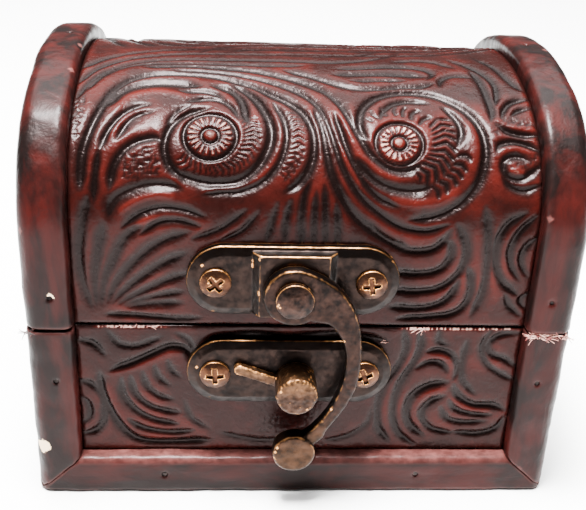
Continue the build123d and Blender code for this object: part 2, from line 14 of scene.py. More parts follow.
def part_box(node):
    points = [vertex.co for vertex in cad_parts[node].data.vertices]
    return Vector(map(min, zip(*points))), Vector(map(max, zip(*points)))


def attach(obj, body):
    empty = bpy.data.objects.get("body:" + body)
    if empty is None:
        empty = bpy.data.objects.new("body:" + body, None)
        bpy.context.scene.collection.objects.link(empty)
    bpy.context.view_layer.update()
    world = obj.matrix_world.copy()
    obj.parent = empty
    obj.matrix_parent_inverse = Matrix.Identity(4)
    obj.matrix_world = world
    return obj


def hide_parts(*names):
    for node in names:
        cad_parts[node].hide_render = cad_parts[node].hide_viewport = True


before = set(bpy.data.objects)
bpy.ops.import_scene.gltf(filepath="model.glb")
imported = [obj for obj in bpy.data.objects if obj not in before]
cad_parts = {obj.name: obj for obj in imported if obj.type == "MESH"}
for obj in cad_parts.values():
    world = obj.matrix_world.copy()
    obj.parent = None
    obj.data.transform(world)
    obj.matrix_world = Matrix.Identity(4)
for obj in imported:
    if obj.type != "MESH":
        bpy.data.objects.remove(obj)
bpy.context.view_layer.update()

MM = 0.001
scene = bpy.context.scene

# ---- the box's own sizes, in millimetres ---------------------------------------------------------
lid_low, lid_high = (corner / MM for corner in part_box("lid_leather"))
front_low, front_high = (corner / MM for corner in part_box("base_front_leather"))
side_low, side_high = (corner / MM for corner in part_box("base_right_leather"))
end_low, end_high = (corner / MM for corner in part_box("lid_end_leather_right"))
LEATHER_X = lid_high.x  # the panels' half width between the rails
LEATHER_Y = lid_high.y  # front and back faces of the leather
SIDE_X = side_high.x  # outer face of the side leathers
SPRING_Z = 42.5
HAUNCH_CENTRE_Y, HAUNCH_R = 11.0, 17.6
CROWN_CENTRE_Z, CROWN_R, CROWN_HALF_TURN = 13.25, 48.85, 0.36
CROWN_HALF = CROWN_R * CROWN_HALF_TURN
HAUNCH_LENGTH = HAUNCH_R * (pi / 2 - CROWN_HALF_TURN)
CROWN_S = SPRING_Z + HAUNCH_LENGTH + CROWN_HALF  # the leather's highest line
SKIN = 0.85  # the tooled sheets' thickness


# ---- tooling: grooves, ridges, rosettes and grounds pressed into the leather ---------------------
def flowing(points, step=0.45):
    """A smooth line through a few given points."""
    p = np.array([points[0], *points, points[-1]], float)
    line = []
    for i in range(1, len(p) - 2):
        a, b, c, d = p[i - 1 : i + 3]
        count = max(2, int(np.linalg.norm(c - b) / step) + 1)
        t = np.linspace(0, 1, count, endpoint=False)[:, None]
        line.append(
            0.5 * (2 * b + (c - a) * t + (2 * a - 5 * b + 4 * c - d) * t**2 + (3 * b - a - 3 * c + d) * t**3)
        )
    return np.vstack([*line, p[-1:]])


def nearest(work, line, far):
    """The points of the leather near a line: which, how far off, how far along, and the length."""
    pieces = np.linalg.norm(np.diff(line, axis=0), axis=1)
    ends = np.concatenate([[0], np.cumsum(pieces)])
    low, high = line.min(0) - far, line.max(0) + far
    x, s = work["x"], work["s"]
    near = np.nonzero((x > low[0]) & (x < high[0]) & (s > low[1]) & (s < high[1]))[0]
    off, along = np.full(len(near), 1e9), np.zeros(len(near))
    px, ps = x[near], s[near]
    for a, b, start, length in zip(line[:-1], line[1:], ends, pieces):
        if length < 1e-6:
            continue
        middle = (a + b) / 2
        close = np.nonzero((abs(px - middle[0]) < far + length) & (abs(ps - middle[1]) < far + length))[0]
        ux, us = (b - a) / length
        t = np.clip((px[close] - a[0]) * ux + (ps[close] - a[1]) * us, 0, length)
        d = np.hypot(px[close] - a[0] - ux * t, ps[close] - a[1] - us * t)
        better = d < off[close]
        off[close[better]], along[close[better]] = d[better], start + t[better]
    return near, off, along, ends[-1]


def groove(work, points, half=0.42, depth=0.5, tip=2.2):
    """A tapered groove: a narrow deep core between soft shoulders."""
    near, off, along, length = nearest(work, flowing(points), 3.2 * half)
    taper = np.clip(np.minimum(along, length - along) / min(tip, length / 2.2) + 0.12, 0, 1) ** 0.6
    q = off / (1.15 * half * (0.35 + 0.65 * taper))
    cut = 1.1 * depth * taper * (0.66 * np.exp(-1.1 * q**2) + 0.34 * np.exp(-((q / 2.1) ** 2)))
    work["cut"][near] = np.maximum(work["cut"][near], cut)


def ridge(work, points, half=0.45, height=0.22):
    """A tapered raised line."""
    near, off, along, length = nearest(work, flowing(points), 3 * half)
    taper = np.clip(np.minimum(along, length - along) / min(2.0, length / 2.2), 0, 1) ** 0.7
    rise = height * taper * np.exp(-((off / half) ** 2))
    work["rise"][near] = np.maximum(work["rise"][near], rise)


def ribs(work, points, half, pitch=0.9, depth=0.24, lean=0.0):
    """Short ribs across a band."""
    near, off, along, length = nearest(work, flowing(points), half)
    window = np.clip((half - off) / (0.3 * half), 0, 1) * np.clip(
        np.minimum(along, length - along) / 0.8, 0, 1
    )
    wave = 0.5 + 0.5 * np.cos(2 * pi * (along + lean * off) / pitch + 0.9 * np.sin(1.3 * along))
    work["cut"][near] = np.maximum(work["cut"][near], depth * wave**1.4 * window)


def scatter(cell_x, cell_s):
    """Two even random numbers for a cell."""
    a = np.sin(cell_x * 127.1 + cell_s * 311.7) * 43758.5453
    b = np.sin(cell_x * 269.5 + cell_s * 183.3) * 24634.6345
    return a - np.floor(a), b - np.floor(b)


def pebbles(work, centre, reach, size=0.75, depth=0.26, turn=0.0):
    """A pebbled ground inside an oval."""
    x, s = work["x"] - centre[0], work["s"] - centre[1]
    u, v = x * cos(turn) + s * sin(turn), s * cos(turn) - x * sin(turn)
    window = np.clip((1 - np.hypot(u / reach[0], v / reach[1])) * 4, 0, 1)
    near = np.nonzero(window)[0]
    cx, cs = work["x"][near] / size, work["s"][near] / size
    best = np.full(len(near), 9.0)
    for i in (-1, 0, 1):
        for j in (-1, 0, 1):
            gx, gs = np.floor(cx) + i, np.floor(cs) + j
            a, b = scatter(gx, gs)
            best = np.minimum(best, np.hypot(gx + 0.15 + 0.7 * a - cx, gs + 0.15 + 0.7 * b - cs))
    cut = depth * np.clip(best * 1.35, 0, 1) ** 1.5 * window[near]
    work["cut"][near] = np.maximum(work["cut"][near], cut)


def rosette(work, centre, button=1.0, eye=1.45, petals=3.3, ring=3.75, count=20):
    """A button in a ring of thin petals."""
    x, s = work["x"] - centre[0], work["s"] - centre[1]
    r, turn = np.hypot(x, s), np.arctan2(s, x)
    near = np.nonzero(r < ring + 1.5)[0]
    r, turn = r[near], turn[near]
    cut = 0.45 * np.exp(-(((r - (button + eye) / 2) / 0.26) ** 2))
    cut = np.maximum(cut, 0.5 * np.exp(-(((r - ring) / 0.3) ** 2)))
    slit = (0.5 + 0.5 * np.cos(count * turn)) ** 1.6
    window = np.clip((r - eye) / 0.25, 0, 1) * np.clip((petals - r) / 0.3, 0, 1)
    cut = np.maximum(cut, 0.34 * slit * window)
    cut = np.maximum(cut, 0.3 * np.exp(-(((r - petals - 0.05) / 0.2) ** 2)))
    rise = 0.2 * np.exp(-((r / (0.8 * button)) ** 2)) + 0.12 * np.exp(-(((r - 2.4) / 0.7) ** 2))
    work["cut"][near] = np.maximum(work["cut"][near], cut)
    work["rise"][near] = np.maximum(work["rise"][near], rise)
    # partly rubbed wear, partly a painted highlight: the petals and ring are lightened
    rubbed = np.clip((petals + 0.4 - r) / 0.8, 0, 1) * np.clip((r - button + 0.3) / 0.6, 0.35, 1)
    work["rubbed"][near] = np.maximum(work["rubbed"][near], rubbed)


def spiral(centre, r_from, r_to, turn_from, turn_to, count=18):
    """Points along a spiral, for a groove round a rosette; turns in degrees."""
    turns = np.radians(np.linspace(turn_from, turn_to, count))
    radii = np.linspace(r_from, r_to, count)
    return [(centre[0] + r * cos(t), centre[1] + r * sin(t)) for r, t in zip(radii, turns)]


def swell(x, s, size, height, seed=0.0):
    """Slow unevenness of a hand-worked skin."""
    total = np.zeros_like(x)
    for i in range(5):
        turn = 1.7 * i + seed
        wave = (x * cos(turn) + s * sin(turn)) / (size * (0.6 + 0.25 * i))
        total += np.sin(wave * 2 * pi + 2.3 * i + seed + np.sin(x / size * 1.9 + i))
    return height * total / 5


# The lid's front half. Each entry: half width, depth, points.
LID_GROOVES = [
    # outer scroll round the left rosette, and on into the middle
    (0.55, 0.6, [
        (-31.4, 50), (-31.2, 55), (-30.3, 59), (-29.3, 62.3), (-28.3, 65.6), (-27, 68), (-25.2, 69.9),
        (-22.6, 71.2), (-19.3, 71.7), (-16, 71.5), (-12.8, 70.8), (-9.9, 69.6), (-7.1, 68.1), (-4.9, 66.3),
        (-2.6, 64.6), (-1, 62.9), (0.1, 61), (0.8, 58.5), (0.8, 55.4), (0.1, 53), (-1.2, 51.2), (-3, 49.9),
    ]),
    (0.75, 0.62, [
        (-28.6, 62.6), (-27.6, 65.2), (-26.2, 67), (-24.2, 68.2), (-21.2, 68.8), (-18, 68.7), (-15.4, 68),
    ]),
    # oval round the left rosette
    (0.5, 0.58, [
        (-14.2, 62.7), (-16.6, 62), (-18.6, 60.4), (-19.8, 58), (-20, 55.4), (-19, 53), (-17, 51.3),
    ]),
    (0.62, 0.65, [
        (-19, 52.6), (-16.3, 51.5), (-13, 50.9), (-9.7, 51.4), (-7.2, 53.2), (-5.6, 56), (-5.1, 58.4),
        (-5.4, 60.6), (-6.1, 62.6), (-7.2, 65), (-9, 67.4), (-11, 69),
    ]),
    (0.6, 0.6, [(-13.6, 68.2), (-11.4, 67.6), (-9.9, 66), (-9.1, 63.8), (-8.8, 61.6), (-8.3, 60)]),
    (0.45, 0.45, [
        (-14.6, 49.3), (-12, 49.7), (-9.6, 49.8), (-6.8, 50.9), (-4.6, 53), (-3.4, 55.6), (-3, 58.6),
        (-3.6, 61.6), (-5, 64.6),
    ]),
    (0.4, 0.45, [(-17.2, 64.2), (-14.4, 65), (-12.2, 64.6), (-10.6, 63), (-9.6, 60.6)]),
    (0.42, 0.42, [(-18.4, 66.6), (-15.6, 66.8), (-13.2, 66.2), (-11.6, 64.8)]),
    # left leaf and its strokes
    (0.45, 0.5, [(-28.9, 55.4), (-27.9, 58.4), (-26.1, 61.2), (-24, 62.8), (-22.4, 63.2)]),
    (0.42, 0.5, [(-26.7, 57), (-25.4, 59.4), (-23.8, 61.1), (-22, 61.8)]),
    (0.42, 0.5, [(-20, 58.6), (-19.2, 60.7), (-18, 62.3), (-16.6, 63.4)]),
    (0.5, 0.55, [(-27.4, 49.8), (-27, 52.7), (-25.8, 55.2), (-23.9, 56.8), (-21.4, 57.4), (-20.3, 56.4)]),
    (0.4, 0.45, [(-29.6, 48), (-29.4, 52), (-29, 55.5)]),
    (0.55, 0.5, [(-27.6, 46), (-26.6, 48.6), (-23, 50.4), (-19.6, 50.6), (-17.4, 50)]),
    (0.42, 0.5, [(-25.8, 44.4), (-23.6, 46.3), (-20.6, 47.4), (-17.4, 47.2), (-14.4, 46.2)]),
    (0.4, 0.42, [(-23.4, 43.4), (-21, 45.2), (-18, 45.6), (-15, 44.8)]),
    # fan below the left leaf
    (0.6, 0.42, [(-30.4, 31.6), (-31.6, 36), (-31.8, 41), (-31, 46), (-30.2, 49)]),
    (0.6, 0.42, [(-29.8, 31.8), (-29.9, 36.5), (-29.2, 41), (-28.4, 45)]),
    (0.6, 0.42, [(-29.2, 32), (-28.6, 36), (-27, 40), (-25.4, 43), (-22.8, 45)]),
    (0.6, 0.42, [(-28.4, 32.4), (-26.8, 36), (-24, 39.6), (-20.6, 42.4), (-16.6, 44)]),
    (0.6, 0.42, [(-27.6, 32.6), (-24.8, 35.6), (-21, 38.6), (-17, 40.8)]),
    (0.6, 0.42, [(-26.8, 32.4), (-23, 34.6), (-19.6, 36.4), (-16.4, 37.6)]),
    (0.6, 0.42, [(-26, 32.2), (-21.6, 33.6), (-17.4, 34.6)]),
    (0.6, 0.42, [(-25.6, 32), (-21.6, 32.5), (-17.6, 32.7)]),
    (0.4, 0.42, [(-28.6, 30.7), (-24, 30.5), (-18, 30), (-15, 30.3)]),
    # long sweeps over the top
    (0.34, 0.36, [
        (-32.8, 64), (-31.4, 68.6), (-28.9, 72.2), (-25.4, 74.9), (-20.3, 76.4), (-11.2, 76.9), (-1, 77),
        (3.1, 76.7), (6.9, 77.2), (10.7, 78.5), (14, 80.6), (16, 83),
    ]),
    (0.34, 0.36, [
        (-33, 68), (-30.6, 72.6), (-26.4, 76.2), (-20.6, 78.6), (-13, 79.6), (-4, 79.8), (3, 79.6),
        (8, 80.4), (12, 82.4),
    ]),
    (0.34, 0.36, [
        (-33, 72.4), (-29.6, 76.4), (-24.4, 79.6), (-17.6, 81.6), (-8, 82.4), (1, 82.4), (7, 83.2),
    ]),
    (0.34, 0.36, [(-31.8, 66), (-29.6, 70.6), (-26, 73.8), (-21, 75), (-14, 75.2), (-6, 75), (0, 75.2)]),
    # sweeps that fall between the rosettes and under the right one
    (0.5, 0.5, [
        (-24, 73.6), (-18.5, 74.3), (-12, 73.8), (-7, 72.8), (-3, 71.2), (0.6, 69.2), (3.2, 66.8),
        (4.9, 63.9), (6.1, 60.8), (7.5, 57.6), (9.4, 54.9), (11.8, 53.3), (14.2, 53.2), (16, 54.2),
    ]),
    (0.42, 0.45, [
        (-20, 72.9), (-13, 72.3), (-8, 70.9), (-4, 69), (-0.8, 66.8), (1.4, 64.2), (2.7, 60.8),
        (3.8, 56.8), (5.1, 52.9), (7.1, 49.7), (9.9, 47.2), (13.2, 45.2), (17, 44.6), (20, 45.6),
    ]),
    (0.5, 0.5, [
        (1, 63.6), (2, 59.6), (2.6, 55.6), (3.4, 52.2), (5.4, 48.2), (8.2, 45.2), (11.6, 43), (15, 42),
    ]),
    (0.42, 0.5, [(3.9, 62.4), (4.8, 58.8), (5.7, 55.4), (7.4, 52), (9.8, 49.4), (12.6, 48)]),
    (0.62, 0.62, [(6.5, 55), (8.2, 52.8), (10.2, 51.3), (12.7, 50.5), (15.4, 50.4), (17.4, 51)]),
    # oval round the right rosette
    (0.55, 0.6, [
        (8.4, 57.6), (7.6, 59.4), (7.5, 61.4), (8.2, 63.8), (10, 66), (12.6, 67.4), (15.7, 67.7),
        (18.8, 67.1), (21.5, 65.3), (23.5, 63), (24.8, 60.2), (25.3, 57.2), (25, 54.2), (24.1, 51.6),
        (22.3, 49.2), (20.3, 47.7), (17.6, 46.6), (14.6, 46.2),
    ]),
    (0.42, 0.45, [(19.6, 64.2), (21.2, 62.2), (22, 59.6), (21.2, 56.8)]),
    (0.42, 0.42, [(10.4, 61.2), (11, 63), (12.8, 64.8), (15.4, 65.4), (17.8, 64.8)]),
    # top right leaf
    (0.45, 0.45, [
        (-3, 73.4), (0.5, 71.9), (3.1, 70.4), (5.6, 69), (8.1, 68.4), (11.2, 68.6), (14.2, 69.2),
        (17.3, 69.4), (19.2, 70.3),
    ]),
    (0.6, 0.48, [(4.6, 72.4), (8.1, 72.9), (12.2, 73.1), (16, 72.9), (18.4, 72.2)]),
    (0.4, 0.4, [(5, 74.3), (9, 75), (13, 75.6), (16.6, 75.5), (18.8, 74.7), (19.6, 73.2), (18.6, 71.6)]),
    (0.4, 0.36, [(7, 70.6), (11, 71), (15, 70.9)]),
    (0.42, 0.42, [(20.2, 69.4), (20.6, 71.2), (21.9, 72.6), (23.8, 73), (25.8, 72.3)]),
    (0.5, 0.45, [(25.8, 75), (26.6, 71), (26.9, 67), (27, 63.6), (26.6, 61.4)]),
    (0.42, 0.42, [(22.8, 79.5), (25.4, 77), (27.6, 73.6), (28.6, 70.6), (28.4, 67.4), (27.7, 64.6)]),
    (0.42, 0.42, [(27.4, 80.6), (29.6, 76.8), (31, 72.4), (32.4, 68.8)]),
    (0.4, 0.4, [(14, 77.6), (18, 78.6), (21, 77.8), (23.4, 75.6)]),
    # lobes along the right edge
    (0.45, 0.5, [(33, 66.6), (30.6, 66), (29, 64.2), (28.2, 62)]),
    (0.4, 0.42, [(33, 64.4), (31, 63.8), (29.6, 62.4)]),
    (0.5, 0.55, [(27.2, 61.2), (28.9, 59.7), (31, 59.1), (33.1, 59)]),
    (0.45, 0.5, [
        (33.1, 54.4), (31.6, 53), (29.9, 52.2), (28.4, 52.6), (27.7, 54), (28.2, 55.2), (29.7, 55.6),
        (31.4, 54.9),
    ]),
    (0.45, 0.5, [(26.8, 56), (27.4, 57.4), (29.4, 57.9), (31.6, 57.3), (33.1, 56.2)]),
    (0.42, 0.45, [(27.4, 53.2), (28.4, 51.4), (30.6, 50.6), (33, 51.4)]),
    # drapery between the ovals
    (0.38, 0.4, [(-0.6, 42), (-0.8, 46), (-0.4, 49.6), (0.6, 52)]),
    (0.38, 0.4, [(1.1, 42), (1, 46), (1.2, 50)]),
    (0.38, 0.4, [(2.7, 42), (2.5, 46.4), (2.3, 51)]),
    (0.38, 0.4, [(4.4, 42), (4.3, 45.6), (4.1, 49)]),
    (0.38, 0.4, [(-3, 42.4), (-3, 45.6), (-2.3, 48.8)]),
    (0.38, 0.38, [(-5.6, 42.6), (-5, 45.2), (-4.2, 48.2)]),
    (0.4, 0.36, [(-16, 43), (-12, 44.6), (-8.6, 47.2)]),
    (0.36, 0.32, [(-12, 42.8), (-9, 44.4), (-6.8, 47)]),
    # bands below the right oval
    (0.5, 0.52, [(7.4, 46.4), (10.4, 43.8), (14.4, 41.6), (17.8, 41.7), (19.5, 43), (20.4, 44.6)]),
    (0.45, 0.5, [(12.6, 38.2), (16, 37.8), (19.2, 38.4), (20.8, 40.4), (20.6, 42.6), (19.2, 43.2)]),
    (0.45, 0.5, [
        (12.6, 35.2), (16.4, 34.9), (19.8, 35.6), (22.2, 37.8), (23.1, 40.8), (22.6, 43.4), (21.4, 45.6),
    ]),
    (0.45, 0.5, [(12.6, 32.4), (17, 32.1), (20.2, 33), (21.8, 34.8), (22.6, 37.2)]),
    (0.45, 0.5, [(14, 30.4), (19, 30.7), (22.4, 31.4), (24.2, 33.6), (24.3, 37), (23.2, 39.4)]),
    (0.5, 0.45, [(25, 31), (26.2, 35), (26.4, 39.6), (26, 44), (25.2, 48)]),
    # leaf at the lower right edge
    (0.5, 0.52, [(31, 47.4), (28.6, 45.6), (27.4, 43), (27.6, 39.6), (29, 36.6), (31.6, 34.4)]),
    (0.42, 0.48, [(32.6, 47), (30.4, 44.6), (29.4, 42), (29.8, 39.4), (31.2, 37)]),
    (0.4, 0.45, [(33, 44), (31.4, 42), (31.2, 39.8), (32.4, 37.6)]),
    (0.42, 0.45, [(29.6, 35), (30.4, 32.8), (32.4, 31)]),
    (0.4, 0.4, [(33, 35), (32, 33.6), (33, 32)]),
]
LID_RIDGES = [
    (0.45, 0.26, [(-26.2, 46.6), (-24, 48.2), (-21, 49.2), (-18.3, 49.1)]),
    (0.4, 0.22, [(-24, 44.6), (-22, 45.8), (-20.4, 46)]),
    (0.4, 0.24, [(-28, 56.6), (-26.6, 59.6), (-24.8, 61.9), (-22.6, 62.9)]),
    (0.36, 0.24, [(-26, 58.2), (-24.4, 60.4), (-22.3, 61.5)]),
    (0.45, 0.28, [(-19.4, 59.8), (-18.2, 61.7), (-16.6, 63)]),
    (0.7, 0.2, [(-27.4, 61), (-25.6, 64.6), (-22.4, 66.2), (-19, 66), (-16.8, 64.8)]),
    (0.5, 0.2, [(-15, 49.7), (-12, 50.1), (-9.4, 50.2)]),
    (0.8, 0.2, [(2, 68.6), (3.9, 65.6), (5, 62), (6.2, 58.8), (8, 55.6)]),
    (0.5, 0.24, [(4.5, 57.4), (5.6, 54), (7.6, 51)]),
    (0.5, 0.2, [(26.9, 62), (28.4, 60.6), (30.8, 60), (33, 60)]),
    (0.45, 0.22, [(27.6, 56.5), (30, 56.7), (32.8, 55.6)]),
    (0.45, 0.22, [(27.8, 53.2), (29.6, 53.4), (31.6, 52.2)]),
    (0.7, 0.2, [(11.6, 49.3), (15, 48.6), (18.6, 49), (21.6, 51)]),
    (0.9, 0.18, [(23.2, 61.6), (24, 57.4), (23, 53)]),
]
LEFT_ROSE, RIGHT_ROSE = (-13.75, 57.9), (12.95, 57.3)


def lid_front_tooling(work):
    """Two big scrolls with rosettes, leaves and long sweeps."""
    for half, depth, points in LID_GROOVES:
        groove(work, points, half, depth)
    for half, height, points in LID_RIDGES:
        ridge(work, points, half, height)
    ribs(work, spiral(LEFT_ROSE, 5.3, 6.2, 215, 400), 1.5, 0.8, 0.3, 0.5)
    ribs(work, [(-4, 51.6), (-2.2, 54), (-1.4, 57), (-1.6, 60), (-3, 63)], 1.3, 0.9, 0.26, 0.6)
    ribs(work, spiral(RIGHT_ROSE, 5.6, 7.2, -70, 40), 2.1, 1.1, 0.34, 0.5)
    ribs(work, spiral(RIGHT_ROSE, 5.4, 6.4, 35, 170), 1.3, 1.5, 0.3, 0.3)
    ribs(work, spiral(RIGHT_ROSE, 8.6, 9.6, -60, -5), 1.3, 1.3, 0.28, 0.4)
    pebbles(work, (-23.3, 53.2), (3.6, 3.4), 0.62, 0.26)
    pebbles(work, (-32.2, 61.5), (1.0, 5.5), 0.6, 0.26)
    pebbles(work, (29.6, 57.6), (4.6, 5.6), 0.62, 0.2)
    pebbles(work, (2.4, 54.4), (1.6, 3.4), 0.6, 0.2)
    pebbles(work, (-2.2, 54.2), (2.6, 4), 0.62, 0.22)
    rosette(work, LEFT_ROSE)
    rosette(work, RIGHT_ROSE, 0.9, 1.4, 2.9, 3.4, 18)


def lid_tooling(work):
    """The front's pattern, and the same turned half round about the crown for the back."""
    lid_front_tooling(work)
    turned = {**work, "x": -work["x"], "s": 2 * CROWN_S - work["s"]}
    lid_front_tooling(turned)


BASE_GROOVES = [
    # left leaf
    (0.5, 0.5, [(-28.4, 21), (-25.2, 22.3), (-22, 24), (-19.4, 25.2), (-17, 24.8), (-16, 22.6)]),
    (0.5, 0.5, [(-30, 20.6), (-29.6, 17), (-28.4, 13.2), (-26.2, 9.6), (-23.6, 8), (-19, 7.8), (-13.6, 8.2)]),
    (0.42, 0.48, [(-26.8, 19.6), (-26.6, 16.6), (-24.8, 13.8), (-22, 12), (-18.4, 11.2)]),
    (0.4, 0.45, [(-25.4, 20), (-25, 17.2), (-23, 14.8), (-20.2, 13.6), (-18, 13.4)]),
    (0.38, 0.42, [(-23.6, 20.8), (-23, 18.2), (-21.2, 16.4), (-19, 15.8)]),
    (0.36, 0.36, [(-21.8, 22), (-21.2, 19.8), (-19.4, 18.2)]),
    (0.36, 0.32, [(-19.8, 23), (-19.2, 21), (-17.8, 19.8)]),
    (0.42, 0.42, [(-26.4, 12.2), (-23.6, 10.4), (-19.6, 9.6), (-16, 10)]),
    (0.48, 0.46, [(-33, 19.4), (-30.9, 18), (-29.6, 15.4), (-29.7, 12), (-31, 10), (-33, 9.4)]),
    (0.36, 0.36, [(-33, 16.4), (-31.9, 15), (-31.8, 12.6), (-33, 11.4)]),
    (0.42, 0.42, [(-33, 26.4), (-30.6, 25.6), (-29, 23.6)]),
    (0.4, 0.36, [(-28.6, 28), (-26.8, 25.6), (-24, 25.4), (-20.6, 27)]),
    (0.42, 0.4, [(-18.4, 27.6), (-16.4, 25.8), (-16.2, 22.6)]),
    (0.36, 0.3, [(-17.4, 15.6), (-16.4, 12.4), (-13.6, 10.4)]),
    # middle, mostly under the hasp
    (0.5, 0.3, [(-14, 26.6), (-8, 27.6), (-2, 27.2), (6, 27.8), (13, 26.4)]),
    (0.4, 0.26, [(-12, 9.6), (-6, 8.2), (2, 8.4)]),
    (0.4, 0.26, [(4, 8), (8, 9), (11, 11.6), (11.6, 15)]),
    # right scroll
    (0.42, 0.46, [(15.2, 28.4), (15.8, 25), (14.8, 21.8), (13, 18.6), (12.3, 14.6), (12.8, 10.6), (14.6, 8)]),
    (0.42, 0.46, [
        (17.6, 28.4), (18, 25.6), (17.2, 22.6), (15.8, 19.8), (14.9, 16.4), (14.9, 12.4), (16.2, 9.4),
        (18.6, 7.4),
    ]),
    (0.42, 0.46, [(18.8, 24.6), (21, 24.9), (23.2, 23.8), (24.2, 21.6), (23.6, 19.6)]),
    (0.42, 0.48, [(17.4, 21.4), (19.6, 22.8), (21.6, 22.4), (22.6, 21)]),
    (0.48, 0.5, [(22.8, 19.2), (19.8, 18.4), (17.6, 16.6), (16.9, 13.8), (17.8, 11), (20, 9)]),
    (0.4, 0.45, [(22.6, 16.6), (20.6, 15.6), (19.4, 13.8), (19.8, 11.8), (21.6, 10.2), (24.6, 9.6)]),
    (0.48, 0.5, [(23.8, 18.8), (24.8, 16.6), (27.2, 15), (30.4, 14.8), (32.4, 14)]),
    (0.38, 0.42, [(23.4, 16), (24.6, 14.2), (27.4, 13.2), (30.4, 13)]),
    (0.38, 0.4, [(22.2, 14.6), (23.4, 12.4), (26, 11.6), (29.6, 11.8)]),
    (0.42, 0.42, [(24.8, 9.8), (28.4, 9.4), (31.4, 10.4), (32.4, 12.6)]),
    (0.42, 0.42, [(25, 26.6), (24.6, 22.6), (25.2, 19.4), (27.4, 16.8)]),
    (0.45, 0.45, [(33, 28), (29.6, 27.4), (28.2, 25.8), (29, 24.2), (31, 23.4), (33, 22)]),
    (0.38, 0.4, [(28.6, 28.6), (27.4, 25.6), (28.4, 22.6), (31, 20.6), (33, 19.6)]),
    (0.4, 0.38, [(20.6, 28.4), (20.8, 26.4), (22.6, 25.6)]),
]
BASE_RIDGES = [
    (0.6, 0.2, [(-29, 20.4), (-25, 21.5), (-22, 23), (-19.5, 24.2), (-17.4, 23.8)]),
    (0.5, 0.18, [(-29.2, 19.6), (-28.6, 16.4), (-27.3, 13.2), (-25.2, 10)]),
    (0.5, 0.18, [(-32.6, 18.6), (-30.6, 17), (-29.9, 14)]),
    (0.5, 0.18, [(23, 18), (20, 17), (18.2, 14.8), (18.2, 12.5), (20, 10.8)]),
    (0.5, 0.16, [(18, 22), (20, 23.6), (22, 23.5), (23.5, 21.5)]),
    (0.5, 0.16, [(23.4, 17.6), (24.4, 15.6), (27, 14.2), (30.6, 13.9)]),
    (0.5, 0.16, [(29, 26.6), (31, 27.4), (33, 28.2)]),
]


def base_front_tooling(work):
    """A leaf on the left, a scroll on the right, and a plain dark middle."""
    for half, depth, points in BASE_GROOVES:
        groove(work, points, half, depth)
    for half, height, points in BASE_RIDGES:
        ridge(work, points, half, height)
    pebbles(work, (0.5, 9.6), (8.2, 4.6), 0.62, 0.13)


BACK_STEMS = [
    (0.42, 0.42, [(13, 8), (9, 12), (8, 17), (10, 22), (14, 26)]),
    (0.4, 0.4, [(10, 8), (6.4, 12), (5.4, 17), (7, 22), (10, 26)]),
    (0.4, 0.4, [(7, 8), (3.6, 12), (2.6, 17), (3.6, 22), (6, 27)]),
]


def base_back_tooling(work):
    """The front's leaf and scroll, turned end for end."""
    base_front_tooling({**work, "x": -work["x"]})
    for side in (-1, 1):
        for half, depth, points in BACK_STEMS:
            groove(work, mirrored(points, side), half, depth)


def mirrored(points, side, about=0.0):
    """A stroke laid out on the right of a line, or turned over to its left."""
    return [(side * (about + x), s) for x, s in points]


SIDE_ROSE = (12.5, 17.2)
# round the side panels' rosettes, measured from them
SIDE_SCROLLS = [
    (0.48, 0.5, [
        (-4.2, 12.6), (-5, 16), (-4.4, 20), (-1.6, 22.6), (2.2, 22.8), (5.2, 20.6), (6, 17), (4.8, 13.6),
        (1.8, 11.6), (-2, 10.6), (-7, 9.4),
    ]),
    (0.42, 0.45, [(-6.2, 14.2), (-6.8, 18), (-5.8, 22.2), (-2.6, 25.2), (2.6, 25.6), (7, 23.2), (9.2, 19)]),
]
SIDE_GROOVES = [
    (0.42, 0.45, [(24, 10.6), (20.4, 11.6), (18.4, 9.4), (14, 8), (9, 8)]),
    (0.4, 0.42, [(24, 14.8), (21.6, 15), (20, 12.8)]),
    (0.42, 0.45, [(24, 22), (22, 22.4), (20.6, 24.6), (20.4, 28)]),
    (0.4, 0.42, [(24, 25), (22.8, 25.8), (22.4, 28)]),
    (0.42, 0.46, [(3.2, 27.6), (4.4, 23), (4, 18), (2.2, 13), (0.7, 8)]),
    (0.4, 0.42, [(1.2, 27.6), (2, 22.6), (1.2, 17), (0.2, 12)]),
]
SIDE_RIBS = [(8.9, 15), (9.2, 19.6), (12.5, 21.6), (16.4, 19.8)]
END_ROSE = (0, 41)
END_GROOVES = [
    (0.48, 0.5, [(4.6, 35.8), (8.6, 37.6), (11, 41.6), (10.8, 46.2), (8, 50), (3.4, 52.2), (0.6, 55)]),
    (0.45, 0.48, [(6, 33.4), (11, 35.2), (14.2, 39.4), (14.4, 44.4), (11.6, 49), (7.4, 52.2)]),
    (0.45, 0.46, [(8, 31.4), (13.6, 33), (17.4, 37), (18, 42), (15.6, 46.8), (12, 50)]),
    (0.42, 0.45, [(12, 30.2), (17.6, 31.6), (21, 35.4), (21.4, 40), (19, 44.6)]),
    (0.42, 0.42, [(18, 30), (22, 32), (23.8, 35.6)]),
    (0.42, 0.45, [(1.6, 30.2), (3, 33), (2, 35.6)]),
    (0.4, 0.42, [(5.4, 30.2), (5.2, 32.6), (3.4, 34.6)]),
    (0.4, 0.42, [(0.4, 49), (2.2, 50), (3.2, 53), (1.4, 56)]),
]


def side_tooling(work):
    """Two scrolls that turn away from a middle stem."""
    for side in (-1, 1):
        rosette(work, (side * SIDE_ROSE[0], SIDE_ROSE[1]), 0.8, 1.2, 2.4, 2.9, 16)
        for half, depth, points in SIDE_SCROLLS:
            groove(work, mirrored(points, side, SIDE_ROSE[0]), half, depth)
        for half, depth, points in SIDE_GROOVES:
            groove(work, mirrored(points, side), half, depth)
        ribs(work, mirrored(SIDE_RIBS, side), 0.8, 0.8, 0.26)
    groove(work, [(0, 7.6), (0, 12), (0, 17)], 0.4, 0.42)


